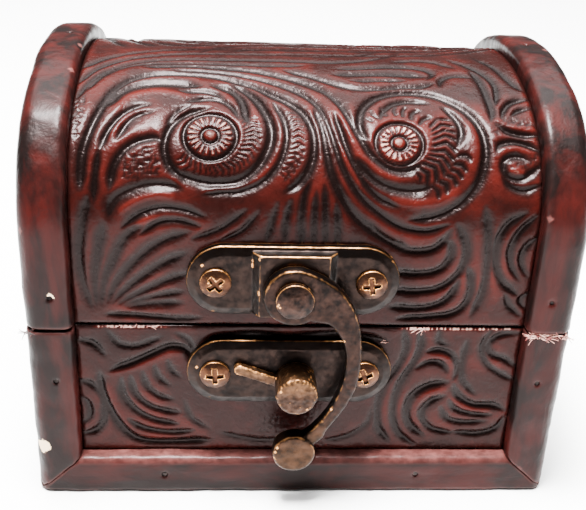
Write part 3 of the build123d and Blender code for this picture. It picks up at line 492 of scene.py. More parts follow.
def end_tooling(work):
    """A rosette under a fan of leaves that follow the arch."""
    rosette(work, END_ROSE, 1.0, 1.45, 3.2, 3.75, 20)
    ribs(work, spiral(END_ROSE, 5, 5, -30, 210), 1.0, 0.9, 0.28)
    groove(work, spiral(END_ROSE, 6.4, 6.4, -48, 228, 22), 0.5, 0.55)
    for side in (-1, 1):
        for half, depth, points in END_GROOVES:
            groove(work, mirrored(points, side), half, depth)


# ---- building the tooled sheets ------------------------------------------------------------------
def softened(values, cells):
    """A grid smoothed over about this many cells."""
    reach = int(3 * cells)
    weights = np.exp(-0.5 * (np.arange(-reach, reach + 1) / cells) ** 2)
    weights /= weights.sum()
    for axis in (0, 1):
        wide = np.pad(values, [(reach, reach) if a == axis else (0, 0) for a in (0, 1)], mode="edge")
        values = np.apply_along_axis(np.convolve, axis, wide, weights, mode="valid")
    return values


def even(x, s):
    """Full relief everywhere."""
    return 1.0


def flatter_crown(x, s):
    """Relief is shallower over the crown, where the leather was drawn tight."""
    return 1 - 0.5 * np.exp(-(((s - CROWN_S) / 9) ** 2))


def tooled_sheet(name, nodes, body, x, s, place, tooling, seed=0.0, cell=0.25, worn_top=(), calm=even):
    """A sheet of tooled leather. x and s are grids in mm; place turns them and a height into points."""
    rows, columns = x.shape
    work = {"x": x.ravel(), "s": s.ravel(), **{layer: np.zeros(x.size) for layer in ("cut", "rise", "rubbed")}}
    tooling(work)
    height = (work["rise"] - work["cut"]).reshape(x.shape) + 0.12 + swell(x, s, 9.0, 0.05, seed)
    height = calm(x, s) * (height - 0.12) + 0.12
    row, column = np.arange(rows)[:, None], np.arange(columns)[None]
    edge = np.minimum(row + 0 * x, column + 0 * x)
    edge = np.minimum(edge, np.minimum(rows - 1 - row, columns - 1 - column))
    height -= 0.18 * np.exp(-((edge * cell / 0.35) ** 2))
    level = softened(height, 1.1 / cell)
    tone = np.clip(0.56 + 1.1 * (height - level) + 0.45 * (height - 0.1), 0.1, 0.8)
    # rubbed places, and the rosettes' painted highlight, lift the tone
    tone += 0.13 * work["rubbed"].reshape(x.shape) * np.clip(0.6 + 2.5 * (height - level), 0, 1)
    for low, high in worn_top:
        rub = np.clip((x - low) / 1.5, 0, 1) * np.clip((high - x) / 1.5, 0, 1)
        rub = rub * (0.75 + 0.25 * np.sin(3.1 * x) + 0.35 * np.sin(9.7 * x + 1))
        tone = np.where(s > s[-1, 0] - 0.45, tone + 0.55 * np.clip(rub, 0, 1), tone)

    top = place(work["x"], work["s"], height.ravel())
    index = np.arange(x.size).reshape(x.shape)
    rim = np.concatenate([index[0, :-1], index[:-1, -1], index[-1, :0:-1], index[:0:-1, 0]])
    under = place(work["x"][rim], work["s"][rim], np.full(len(rim), -SKIN))
    points = np.vstack([top, under]) * MM
    below = dict(zip(rim.tolist(), range(x.size, x.size + len(rim))))

    quads = np.stack([index[:-1, :-1], index[:-1, 1:], index[1:, 1:], index[1:, :-1]], -1).reshape(-1, 4)
    faces = quads.tolist()
    loop = rim.tolist()
    faces += [[b, a, below[a], below[b]] for a, b in zip(loop, loop[1:] + loop[:1])]
    left, right = index[:, 0].tolist(), index[:, -1].tolist()
    for i in range(1, rows - 2):
        faces.append([below[left[i]], below[left[i + 1]], below[right[i + 1]], below[right[i]]])
    first, last = index[0].tolist(), index[-1].tolist()
    faces.append([below[left[1]], below[right[1]]] + [below[i] for i in first[::-1]])
    faces.append([below[right[-2]], below[left[-2]]] + [below[i] for i in last])
    a, b, c = (points[quads[0][i]] for i in (0, 1, 3))
    outward = place(x[:1, :1].ravel(), s[:1, :1].ravel(), np.ones(1)) - place(
        x[:1, :1].ravel(), s[:1, :1].ravel(), np.zeros(1)
    )
    if np.dot(np.cross(b - a, c - a), outward[0]) < 0:
        faces = [face[::-1] for face in faces]

    mesh = bpy.data.meshes.new(name)
    mesh.from_pydata(points.tolist(), [], faces)
    shade = np.zeros(len(faces), bool)
    shade[: len(quads) + len(loop)] = True
    mesh.polygons.foreach_set("use_smooth", shade)
    tones = mesh.attributes.new("tooling", "FLOAT", "POINT")
    tones.data.foreach_set("value", np.concatenate([tone.ravel(), np.full(len(rim), 0.35)]).astype(np.float32))
    sheet = bpy.data.objects.new(name, mesh)
    scene.collection.objects.link(sheet)
    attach(sheet, body)
    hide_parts(*nodes)
    return sheet


def barrel(x, s, height):
    """Points on the lid's leather."""
    back = np.sign(s - CROWN_S)
    way = abs(s - CROWN_S)
    crown = way <= CROWN_HALF
    haunch = ~crown & (way <= CROWN_HALF + HAUNCH_LENGTH)
    turn = np.where(crown, way / CROWN_R, np.clip(CROWN_HALF_TURN + (way - CROWN_HALF) / HAUNCH_R, 0, pi / 2))
    across, up = np.sin(turn), np.cos(turn)
    y = np.where(crown, (CROWN_R + height) * across, HAUNCH_CENTRE_Y + (HAUNCH_R + height) * across)
    z = np.where(crown, CROWN_CENTRE_Z + (CROWN_R + height) * up, SPRING_Z + (HAUNCH_R + height) * up)
    upright = ~crown & ~haunch
    z = np.where(upright, SPRING_Z - (way - CROWN_HALF - HAUNCH_LENGTH), z)
    return np.stack([x, y * back, z], -1)


def grid(x_from, x_to, s_from, s_to, cell):
    """An even grid over a sheet."""
    columns = np.linspace(x_from, x_to, int((x_to - x_from) / cell) + 1)
    rows = np.linspace(s_from, s_to, int((s_to - s_from) / cell) + 1)
    return np.meshgrid(columns, rows)


lid_rows = np.concatenate(
    [np.arange(lid_low.z, CROWN_S, 0.225), np.arange(CROWN_S, 2 * CROWN_S - lid_low.z, 0.4)]
)
lid_rows[-1] = 2 * CROWN_S - lid_low.z
lid_columns = np.linspace(-LEATHER_X, LEATHER_X, 256)
lid_x, lid_s = np.meshgrid(lid_columns, lid_rows)
lid_sheet = tooled_sheet(
    "lid_tooled_sheet", ["lid_leather"], "lid", lid_x, lid_s, barrel, lid_tooling, calm=flatter_crown
)

base_sheets = {}
for side, name, tooling in ((-1, "front", base_front_tooling), (1, "back", base_back_tooling)):
    x, s = grid(-LEATHER_X, LEATHER_X, front_low.z, front_high.z, 0.25 if side < 0 else 0.3)
    base_sheets[name] = tooled_sheet(
        f"base_{name}_tooled_sheet",
        [f"base_{name}_leather"],
        "base",
        x,
        s,
        lambda x, s, h, side=side: np.stack([x, side * (LEATHER_Y + h), s], -1),
        tooling,
        side,
        worn_top=((-31, -19), (14, 33)) if side < 0 else ((-24, -10), (8, 20)),
    )
for side, name in ((-1, "left"), (1, "right")):
    x, s = grid(side_low.y, side_high.y, side_low.z, side_high.z, 0.3)
    base_sheets[name] = tooled_sheet(
        f"base_{name}_tooled_sheet",
        [f"base_{name}_leather"],
        "base",
        x,
        s,
        lambda y, s, h, side=side: np.stack([side * (SIDE_X + h), y, s], -1),
        side_tooling,
        2 * side,
        0.3,
    )
    # the lid's ends: columns end on the arch, closer together where it falls steeply
    turns = np.linspace(-pi / 2, pi / 2, 170)
    across = end_high.y * np.sin(turns)
    inner_haunch = HAUNCH_R - (LEATHER_Y - end_high.y)
    inner_crown = CROWN_R - (LEATHER_Y - end_high.y)
    arch = np.where(
        abs(across) <= inner_crown * sin(CROWN_HALF_TURN),
        CROWN_CENTRE_Z + np.sqrt(np.maximum(inner_crown**2 - across**2, 0)),
        SPRING_Z + np.sqrt(np.maximum(inner_haunch**2 - np.maximum(abs(across) - HAUNCH_CENTRE_Y, 0) ** 2, 0)),
    )
    share = np.linspace(0, 1, 96)[:, None]
    s = end_low.z + share * (arch[None] - end_low.z)
    x = across[None] + 0 * s
    base_sheets["end_" + name] = tooled_sheet(
        f"lid_end_{name}_tooled_sheet",
        [f"lid_end_leather_{name}"],
        "lid",
        x,
        s,
        lambda y, s, h, side=side: np.stack([side * (SIDE_X + h), y, s], -1),
        end_tooling,
        3 * side,
        0.3,
    )


# ---- pieces worked up from the frame's own solids ------------------------------------------------
def worked(node, name, body, slot, voxel, passes, lump=0.0, lump_size=0.004):
    """A copy of a solid with eased edges and a little unevenness. Sizes in metres."""
    piece = bpy.data.objects.new(name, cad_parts[node].data.copy())
    scene.collection.objects.link(piece)
    piece.data.materials.clear()
    weld = piece.modifiers.new("weld", "WELD")
    weld.merge_threshold = 0.000002
    remesh = piece.modifiers.new("even_mesh", "REMESH")
    remesh.mode = "VOXEL"
    remesh.voxel_size = voxel
    remesh.use_smooth_shade = True
    ease = piece.modifiers.new("eased_edges", "SMOOTH")
    ease.factor = 0.5
    ease.iterations = passes
    if lump:
        texture = bpy.data.textures.new(name + "_lumps", "CLOUDS")
        texture.noise_scale = lump_size
        texture.noise_depth = 1
        lumps = piece.modifiers.new("lumps", "DISPLACE")
        lumps.texture = texture
        lumps.texture_coords = "LOCAL"
        lumps.strength = lump
        lumps.mid_level = 0.5
    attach(piece, body)
    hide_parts(node)
    return piece


# each: node, name, body, voxel, smoothing passes, lumps and their size
SIDES, DEPTHS = ("left", "right"), ("front", "back")
RAILS = []
for side in SIDES:
    RAILS.append((f"hoop_{side}", f"wrapped_hoop_{side}", "lid", 0.00032, 3, 0.00032, 0.006))
    RAILS.append((f"foot_rail_{side}", f"wrapped_foot_{side}", "base", 0.0003, 3, 0.0003))
    for depth in DEPTHS:
        RAILS.append((f"corner_post_{depth}_{side}", f"wrapped_post_{depth}_{side}", "base", 0.0003, 3, 0.0003))
for depth in DEPTHS:
    RAILS.append((f"foot_rail_{depth}", f"wrapped_foot_{depth}", "base", 0.0003, 3, 0.0003))
HASP = [
    ("hook_plate", "cast_hook_plate", "lid", 0.00014, 9, 0.00012, 0.0016),
    ("catch_plate", "cast_catch_plate", "base", 0.00014, 7, 0.00012, 0.0016),
    ("swing_hook", "cast_hook", "hook", 0.00013, 18, 0.00012, 0.0014),
    ("catch_stud", "cast_stud", "base", 0.00012, 10, 0.00022, 0.0008),
    ("hook_rivet", "peened_rivet", "lid", 0.0001, 6, 0.0001, 0.0008),
]
HASP_SCREWS = [
    ("hook_plate_screws", "lid_hasp_screws", "lid", 0.000075, 1, 0.00004, 0.0006),
    ("catch_plate_screws", "base_hasp_screws", "base", 0.000075, 1, 0.00004, 0.0006),
]
HINGES = [
    (f"hinge_{part}_{side}", f"cast_hinge_{part}_{side}", body, 0.00016, 3, 0.00006, 0.0016)
    for side in SIDES
    for part, body in (("leaf_base", "base"), ("leaf_lid", "lid"), ("pin", "base"))
]
HINGE_SCREWS = [
    ("hinge_screws_base", "base_hinge_screws", "base", 0.000085, 1, 0.00003, 0.0006),
    ("hinge_screws_lid", "lid_hinge_screws", "lid", 0.000085, 1, 0.00003, 0.0006),
]
BRADS = [
    ("rail_brads", "base_brad_ends", "base", 0.00015, 2, 0.00004, 0.0006),
    ("hoop_brads", "lid_brad_ends", "lid", 0.00015, 2, 0.00004, 0.0006),
]
LININGS = [
    ("base_lining", "base_cloth_lining", "base", 0.00043, 2, 0.0003, 0.006),
    ("lid_lining", "lid_cloth_lining", "lid", 0.00043, 2, 0.0003, 0.006),
]


def all_worked(rows, slot):
    """The worked pieces of one table."""
    return [worked(node, name, body, slot, *sizes) for node, name, body, *sizes in rows]


rails = all_worked(RAILS, "rail_leather")
hasp_pieces = all_worked(HASP, "antique_brass")
screw_pieces = all_worked(HASP_SCREWS, "screw_brass")
hinge_pieces = all_worked(HINGES, "antique_brass")
screw_pieces += all_worked(HINGE_SCREWS, "screw_brass")
brad_pieces = all_worked(BRADS, "steel")
lining_pieces = all_worked(LININGS, "lining_cloth")


def torn_fibres(name, body, low, high, count, reach, thickness, seed):
    """Short torn fibres that stand out of a torn edge between two points. Millimetres."""
    random = np.random.default_rng(seed)
    curve = bpy.data.curves.new(name, "CURVE")
    curve.dimensions = "3D"
    curve.bevel_depth = thickness * MM
    curve.bevel_resolution = 1
    curve.resolution_u = 3
    curve.use_fill_caps = True
    low, high = np.array(low, float), np.array(high, float)
    for _ in range(count):
        root = low + random.random(3) * (high - low)
        way = np.array([random.normal(0, 1.0), -0.3 * random.random(), random.normal(-0.05, 0.28)])
        way *= reach * (0.5 + 0.7 * random.random()) / np.linalg.norm(way)
        curl = np.array([random.normal(0, 0.25), -0.1 * random.random(), random.normal(-0.1, 0.25)]) * reach
        spline = curve.splines.new("NURBS")
        spline.points.add(3)
        for point, share in zip(spline.points, (0, 0.35, 0.7, 1)):
            place = root + way * share + curl * share**2
            point.co = (*(place * MM), 1)
            point.radius = 1 - 0.55 * share
        spline.order_u = 3
        spline.use_endpoint_u = True
    lines = bpy.data.objects.new(name + "_lines", curve)
    scene.collection.objects.link(lines)
    graph = bpy.context.evaluated_depsgraph_get()
    mesh = bpy.data.meshes.new_from_object(lines.evaluated_get(graph))
    bpy.data.objects.remove(lines)
    mesh.shade_smooth()
    tuft = bpy.data.objects.new(name, mesh)
    scene.collection.objects.link(tuft)
    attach(tuft, body)
    return tuft


pale_tufts = [
    torn_fibres("torn_seam_right", "base", (33.4, -31.0, 28.4), (39.4, -30.5, 29.1), 80, 1.0, 0.07, 11),
    torn_fibres("torn_seam_middle", "base", (16.6, -28.7, 28.5), (18.8, -28.5, 28.8), 9, 0.9, 0.06, 5),
    torn_fibres("torn_leather_spot", "base", (11.9, -28.75, 26.2), (12.6, -28.6, 26.6), 5, 0.6, 0.06, 8),
    torn_fibres("torn_seam_left_edge", "base", (-29, -28.7, 28.5), (-21, -28.5, 28.8), 12, 0.6, 0.05, 9),
]
dark_tufts = [
    torn_fibres("torn_seam_corner", "base", (-39.9, -30.8, 28.4), (-38.6, -30.2, 28.9), 14, 1.0, 0.08, 3),
]


# ---- finishes -----------------------------------------------------------------------------------
def blank_material(name):
    """A new material with no nodes, and its nodes and links."""
    material = bpy.data.materials.new(name)
    material.use_nodes = True
    material.node_tree.nodes.clear()
    return material, material.node_tree.nodes, material.node_tree.links


def tooled_leather(name, wash, body_colour, rubbed, worn, shift):
    """Glossy antiqued leather: dark wash in the tooling, red where the high places are rubbed."""
    material, nodes, links = blank_material(name)

    colour_frame = nodes.new("NodeFrame")
    colour_frame.label = "antique wash and rubbed colour"
    grain_frame = nodes.new("NodeFrame")
    grain_frame.label = "hide grain"
    gloss_frame = nodes.new("NodeFrame")
    gloss_frame.label = "lacquer"

    place = nodes.new("ShaderNodeTexCoord")
    place.label = "places on the piece"
    move = nodes.new("ShaderNodeMapping")
    move.label = "each sheet from another part of the hide"
    move.inputs["Location"].default_value = shift
    links.new(place.outputs["Object"], move.inputs["Vector"])

    tooling = nodes.new("ShaderNodeAttribute")
    tooling.label = "height of the tooling"
    tooling.attribute_name = "tooling"
    patches = nodes.new("ShaderNodeTexNoise")
    patches.label = "uneven rubbing"
    patches.inputs["Scale"].default_value = 170
    patches.inputs["Detail"].default_value = 4
    patches.inputs["Roughness"].default_value = 0.6
    links.new(move.outputs["Vector"], patches.inputs["Vector"])
    uneven = nodes.new("ShaderNodeMath")
    uneven.label = "rubbing shifts the tone"
    uneven.operation = "MULTIPLY_ADD"
    uneven.inputs[1].default_value = 0.5
    uneven.inputs[2].default_value = -0.25
    links.new(patches.outputs["Fac"], uneven.inputs[0])
    tone = nodes.new("ShaderNodeMath")
    tone.label = "tone"
    tone.operation = "ADD"
    tone.use_clamp = True
    links.new(tooling.outputs["Fac"], tone.inputs[0])
    links.new(uneven.outputs["Value"], tone.inputs[1])
    colours = nodes.new("ShaderNodeValToRGB")
    colours.label = "wash, leather, rubbed"
    colours.color_ramp.elements[0].position = 0.3
    colours.color_ramp.elements[0].color = (*wash, 1)
    colours.color_ramp.elements[1].position = 0.86
    colours.color_ramp.elements[1].color = (*rubbed, 1)
    middle = colours.color_ramp.elements.new(0.6)
    middle.color = (*body_colour, 1)
    bare = colours.color_ramp.elements.new(0.99)
    bare.color = (*worn, 1)
    links.new(tone.outputs["Value"], colours.inputs["Fac"])
    clouds = nodes.new("ShaderNodeTexNoise")
    clouds.label = "darker clouds of dye"
    clouds.inputs["Scale"].default_value = 60
    clouds.inputs["Detail"].default_value = 3
    links.new(move.outputs["Vector"], clouds.inputs["Vector"])
    cloud_range = nodes.new("ShaderNodeMapRange")
    cloud_range.label = "how dark the clouds are"
    cloud_range.inputs["From Min"].default_value = 0.35
    cloud_range.inputs["From Max"].default_value = 0.7
    cloud_range.inputs["To Min"].default_value = 0.55
    cloud_range.inputs["To Max"].default_value = 1.15
    links.new(clouds.outputs["Fac"], cloud_range.inputs["Value"])
    dyed = nodes.new("ShaderNodeVectorMath")
    dyed.label = "dyed colour"
    dyed.operation = "SCALE"
    links.new(colours.outputs["Color"], dyed.inputs[0])
    links.new(cloud_range.outputs["Result"], dyed.inputs["Scale"])

    pores = nodes.new("ShaderNodeTexVoronoi")
    pores.label = "grain cells"
    pores.inputs["Scale"].default_value = 2100
    links.new(move.outputs["Vector"], pores.inputs["Vector"])
    creases = nodes.new("ShaderNodeTexNoise")
    creases.label = "fine creases"
    creases.inputs["Scale"].default_value = 900
    creases.inputs["Detail"].default_value = 5
    creases.inputs["Distortion"].default_value = 0.6
    links.new(move.outputs["Vector"], creases.inputs["Vector"])
    cells = nodes.new("ShaderNodeBump")
    cells.label = "grain relief"
    cells.inputs["Strength"].default_value = 0.35
    cells.inputs["Distance"].default_value = 0.00006
    links.new(pores.outputs["Distance"], cells.inputs["Height"])
    relief = nodes.new("ShaderNodeBump")
    relief.label = "crease relief"
    relief.inputs["Strength"].default_value = 0.75
    relief.inputs["Distance"].default_value = 0.00022
    links.new(creases.outputs["Fac"], relief.inputs["Height"])
    links.new(cells.outputs["Normal"], relief.inputs["Normal"])

    shine = nodes.new("ShaderNodeMapRange")
    shine.label = "duller where worn"
    shine.inputs["From Min"].default_value = 0.3
    shine.inputs["From Max"].default_value = 0.7
    shine.inputs["To Min"].default_value = 0.2
    shine.inputs["To Max"].default_value = 0.34
    links.new(creases.outputs["Fac"], shine.inputs["Value"])

    skin = nodes.new("ShaderNodeBsdfPrincipled")
    skin.label = "leather"
    skin.inputs["Specular IOR Level"].default_value = 0.038
    skin.inputs["Specular Tint"].default_value = (1.0, 0.72, 0.7, 1)
    skin.inputs["Coat Weight"].default_value = 0.03
    skin.inputs["Coat Roughness"].default_value = 0.2
    links.new(dyed.outputs["Vector"], skin.inputs["Base Color"])
    links.new(shine.outputs["Result"], skin.inputs["Roughness"])
    links.new(relief.outputs["Normal"], skin.inputs["Normal"])
    out = nodes.new("ShaderNodeOutputMaterial")
    out.label = "surface"
    links.new(skin.outputs["BSDF"], out.inputs["Surface"])

    spots = {
        place: (-1500, 0), move: (-1300, 0), tooling: (-1100, 500), patches: (-1100, 300),
        uneven: (-900, 300), tone: (-700, 420), colours: (-500, 420), clouds: (-700, 180),
        cloud_range: (-500, 180), dyed: (-200, 300), pores: (-1100, -100), creases: (-1100, -350),
        cells: (-800, -100), relief: (-600, -200), shine: (-500, -450), skin: (100, 200), out: (400, 200),
    }
    for node, spot in spots.items():
        node.location = spot
    for node in (tooling, patches, uneven, tone, colours, clouds, cloud_range, dyed):
        node.parent = colour_frame
    for node in (pores, creases, cells, relief):
        node.parent = grain_frame
    shine.parent = gloss_frame
    return material


def wrapped_leather(name, dark, lit, worn, stretch, shift, rub_and_highlight_from, rub_and_highlight_to, chip, chip_size):
    """Thin glossy leather over a rail: drawn wrinkles, darker streaks, edges rubbed pale, and a pale band on
    the upper rounding that is partly rubbing and partly a painted highlight.
    """
    material, nodes, links = blank_material(name)

    colour_frame = nodes.new("NodeFrame")
    colour_frame.label = "dye, streaks and rubbed edges"
    wrinkle_frame = nodes.new("NodeFrame")
    wrinkle_frame.label = "wrinkles and grain"
    chip_frame = nodes.new("NodeFrame")
    chip_frame.label = "chip down to bare ground"

    place = nodes.new("ShaderNodeTexCoord")
    place.label = "places on the piece"
    move = nodes.new("ShaderNodeMapping")
    move.label = "drawn out along the rail"
    move.inputs["Location"].default_value = shift
    move.inputs["Scale"].default_value = stretch
    links.new(place.outputs["Object"], move.inputs["Vector"])

    streaks = nodes.new("ShaderNodeTexNoise")
    streaks.label = "streaks of dye"
    streaks.inputs["Scale"].default_value = 210
    streaks.inputs["Detail"].default_value = 5
    streaks.inputs["Roughness"].default_value = 0.62
    streaks.inputs["Distortion"].default_value = 0.5
    links.new(move.outputs["Vector"], streaks.inputs["Vector"])
    colours = nodes.new("ShaderNodeValToRGB")
    colours.label = "dark and lit leather"
    colours.color_ramp.elements[0].position = 0.42
    colours.color_ramp.elements[0].color = (*dark, 1)
    colours.color_ramp.elements[1].position = 0.66
    colours.color_ramp.elements[1].color = (*lit, 1)
    links.new(streaks.outputs["Fac"], colours.inputs["Fac"])
    shape = nodes.new("ShaderNodeNewGeometry")
    shape.label = "where edges are"
    edges = nodes.new("ShaderNodeMapRange")
    edges.label = "rubbed edges"
    edges.inputs["From Min"].default_value = 0.515
    edges.inputs["From Max"].default_value = 0.6
    links.new(shape.outputs["Pointiness"], edges.inputs["Value"])
    scuffs = nodes.new("ShaderNodeTexNoise")
    scuffs.label = "broken scuffs"
    scuffs.inputs["Scale"].default_value = 700
    scuffs.inputs["Detail"].default_value = 6
    scuffs.inputs["Roughness"].default_value = 0.7
    links.new(place.outputs["Object"], scuffs.inputs["Vector"])
    scuff_range = nodes.new("ShaderNodeMapRange")
    scuff_range.label = "only here and there"
    scuff_range.inputs["From Min"].default_value = 0.4
    scuff_range.inputs["From Max"].default_value = 0.8
    scuff_range.inputs["To Min"].default_value = 0.3
    links.new(scuffs.outputs["Fac"], scuff_range.inputs["Value"])
    heights = nodes.new("ShaderNodeSeparateXYZ")
    heights.label = "height on the box"
    links.new(place.outputs["Object"], heights.inputs["Vector"])
    # partly rubbing, partly a painted highlight: the upper rounding of the front and back foot rails is paled
    # over a band of heights
    ledge_rub_and_highlight = nodes.new("ShaderNodeMapRange")
    ledge_rub_and_highlight.label = "upper rounding rubs most"
    ledge_rub_and_highlight.inputs["From Min"].default_value = rub_and_highlight_from
    ledge_rub_and_highlight.inputs["From Max"].default_value = rub_and_highlight_to
    links.new(heights.outputs["Z"], ledge_rub_and_highlight.inputs["Value"])
    rub_and_highlight_places = nodes.new("ShaderNodeMath")
    rub_and_highlight_places.label = "edges or upper rounding"
    rub_and_highlight_places.operation = "MAXIMUM"
    links.new(edges.outputs["Result"], rub_and_highlight_places.inputs[0])
    links.new(ledge_rub_and_highlight.outputs["Result"], rub_and_highlight_places.inputs[1])
    rubbing = nodes.new("ShaderNodeMath")
    rubbing.label = "rubbed through"
    rubbing.operation = "MULTIPLY"
    rubbing.use_clamp = True
    links.new(rub_and_highlight_places.outputs["Value"], rubbing.inputs[0])
    links.new(scuff_range.outputs["Result"], rubbing.inputs[1])
    # pale where rubbed, and on the painted highlight band
    worn_mix = nodes.new("ShaderNodeMix")
    worn_mix.label = "pale where rubbed"
    worn_mix.data_type = "RGBA"
    worn_mix.inputs["B"].default_value = (*worn, 1)
    links.new(rubbing.outputs["Value"], worn_mix.inputs["Factor"])
    links.new(colours.outputs["Color"], worn_mix.inputs["A"])

    ragged = nodes.new("ShaderNodeVectorMath")
    ragged.label = "distance from the chip"
    ragged.operation = "DISTANCE"
    ragged.inputs[1].default_value = chip
    links.new(place.outputs["Object"], ragged.inputs[0])
    torn = nodes.new("ShaderNodeMath")
    torn.label = "ragged outline"
    torn.operation = "MULTIPLY_ADD"
    torn.inputs[1].default_value = -0.0022
    links.new(scuffs.outputs["Fac"], torn.inputs[0])
    links.new(ragged.outputs["Value"], torn.inputs[2])
    bare = nodes.new("ShaderNodeMath")
    bare.label = "bare ground"
    bare.operation = "LESS_THAN"
    bare.inputs[1].default_value = chip_size - 0.0011
    links.new(torn.outputs["Value"], bare.inputs[0])
    chipped = nodes.new("ShaderNodeMix")
    chipped.label = "cream ground in the chip"
    chipped.data_type = "RGBA"
    chipped.inputs["B"].default_value = (0.72, 0.52, 0.33, 1)
    links.new(bare.outputs["Value"], chipped.inputs["Factor"])
    links.new(worn_mix.outputs["Result"], chipped.inputs["A"])

    wrinkles = nodes.new("ShaderNodeTexNoise")
    wrinkles.label = "drawn wrinkles"
    wrinkles.inputs["Scale"].default_value = 380
    wrinkles.inputs["Detail"].default_value = 4
    wrinkles.inputs["Distortion"].default_value = 1.2
    links.new(move.outputs["Vector"], wrinkles.inputs["Vector"])
    grain = nodes.new("ShaderNodeTexVoronoi")
    grain.label = "grain cells"
    grain.inputs["Scale"].default_value = 2300
    links.new(place.outputs["Object"], grain.inputs["Vector"])
    wrinkle_relief = nodes.new("ShaderNodeBump")
    wrinkle_relief.label = "wrinkle relief"
    wrinkle_relief.inputs["Strength"].default_value = 0.55
    wrinkle_relief.inputs["Distance"].default_value = 0.0003
    links.new(wrinkles.outputs["Fac"], wrinkle_relief.inputs["Height"])
    grain_relief = nodes.new("ShaderNodeBump")
    grain_relief.label = "grain relief"
    grain_relief.inputs["Strength"].default_value = 0.3
    grain_relief.inputs["Distance"].default_value = 0.00005
    links.new(grain.outputs["Distance"], grain_relief.inputs["Height"])
    links.new(wrinkle_relief.outputs["Normal"], grain_relief.inputs["Normal"])
    shine = nodes.new("ShaderNodeMapRange")
    shine.label = "uneven lacquer"
    shine.inputs["From Min"].default_value = 0.3
    shine.inputs["From Max"].default_value = 0.7
    shine.inputs["To Min"].default_value = 0.27
    shine.inputs["To Max"].default_value = 0.48
    links.new(scuffs.outputs["Fac"], shine.inputs["Value"])

    skin = nodes.new("ShaderNodeBsdfPrincipled")
    skin.label = "wrapped leather"
    skin.inputs["Specular IOR Level"].default_value = 0.038
    skin.inputs["Specular Tint"].default_value = (1.0, 0.72, 0.7, 1)
    skin.inputs["Coat Weight"].default_value = 0.04
    skin.inputs["Coat Roughness"].default_value = 0.2
    links.new(chipped.outputs["Result"], skin.inputs["Base Color"])
    links.new(shine.outputs["Result"], skin.inputs["Roughness"])
    links.new(grain_relief.outputs["Normal"], skin.inputs["Normal"])
    out = nodes.new("ShaderNodeOutputMaterial")
    out.label = "surface"
    links.new(skin.outputs["BSDF"], out.inputs["Surface"])

    spots = {
        place: (-1700, 0), move: (-1500, 0), streaks: (-1200, 400), colours: (-950, 400),
        shape: (-1200, 650), edges: (-950, 650), scuffs: (-1200, 900), scuff_range: (-950, 900),
        heights: (-1200, 1400), ledge_rub_and_highlight: (-950, 1400), rub_and_highlight_places: (-820, 900), rubbing: (-700, 750),
        worn_mix: (-450, 500), ragged: (-1200, 1150), torn: (-950, 1150), bare: (-700, 1150),
        chipped: (-200, 600), wrinkles: (-1200, -100), grain: (-1200, -350), wrinkle_relief: (-900, -100),
        grain_relief: (-600, -200), shine: (-600, 50), skin: (100, 300), out: (400, 300),
    }
    for node, spot in spots.items():
        node.location = spot
    for node in (
        streaks, colours, shape, edges, scuffs, scuff_range, heights, ledge_rub_and_highlight, rub_and_highlight_places, rubbing, worn_mix,
    ):
        node.parent = colour_frame
    for node in (ragged, torn, bare, chipped):
        node.parent = chip_frame
    for node in (wrinkles, grain, wrinkle_relief, grain_relief, shine):
        node.parent = wrinkle_frame
    return material


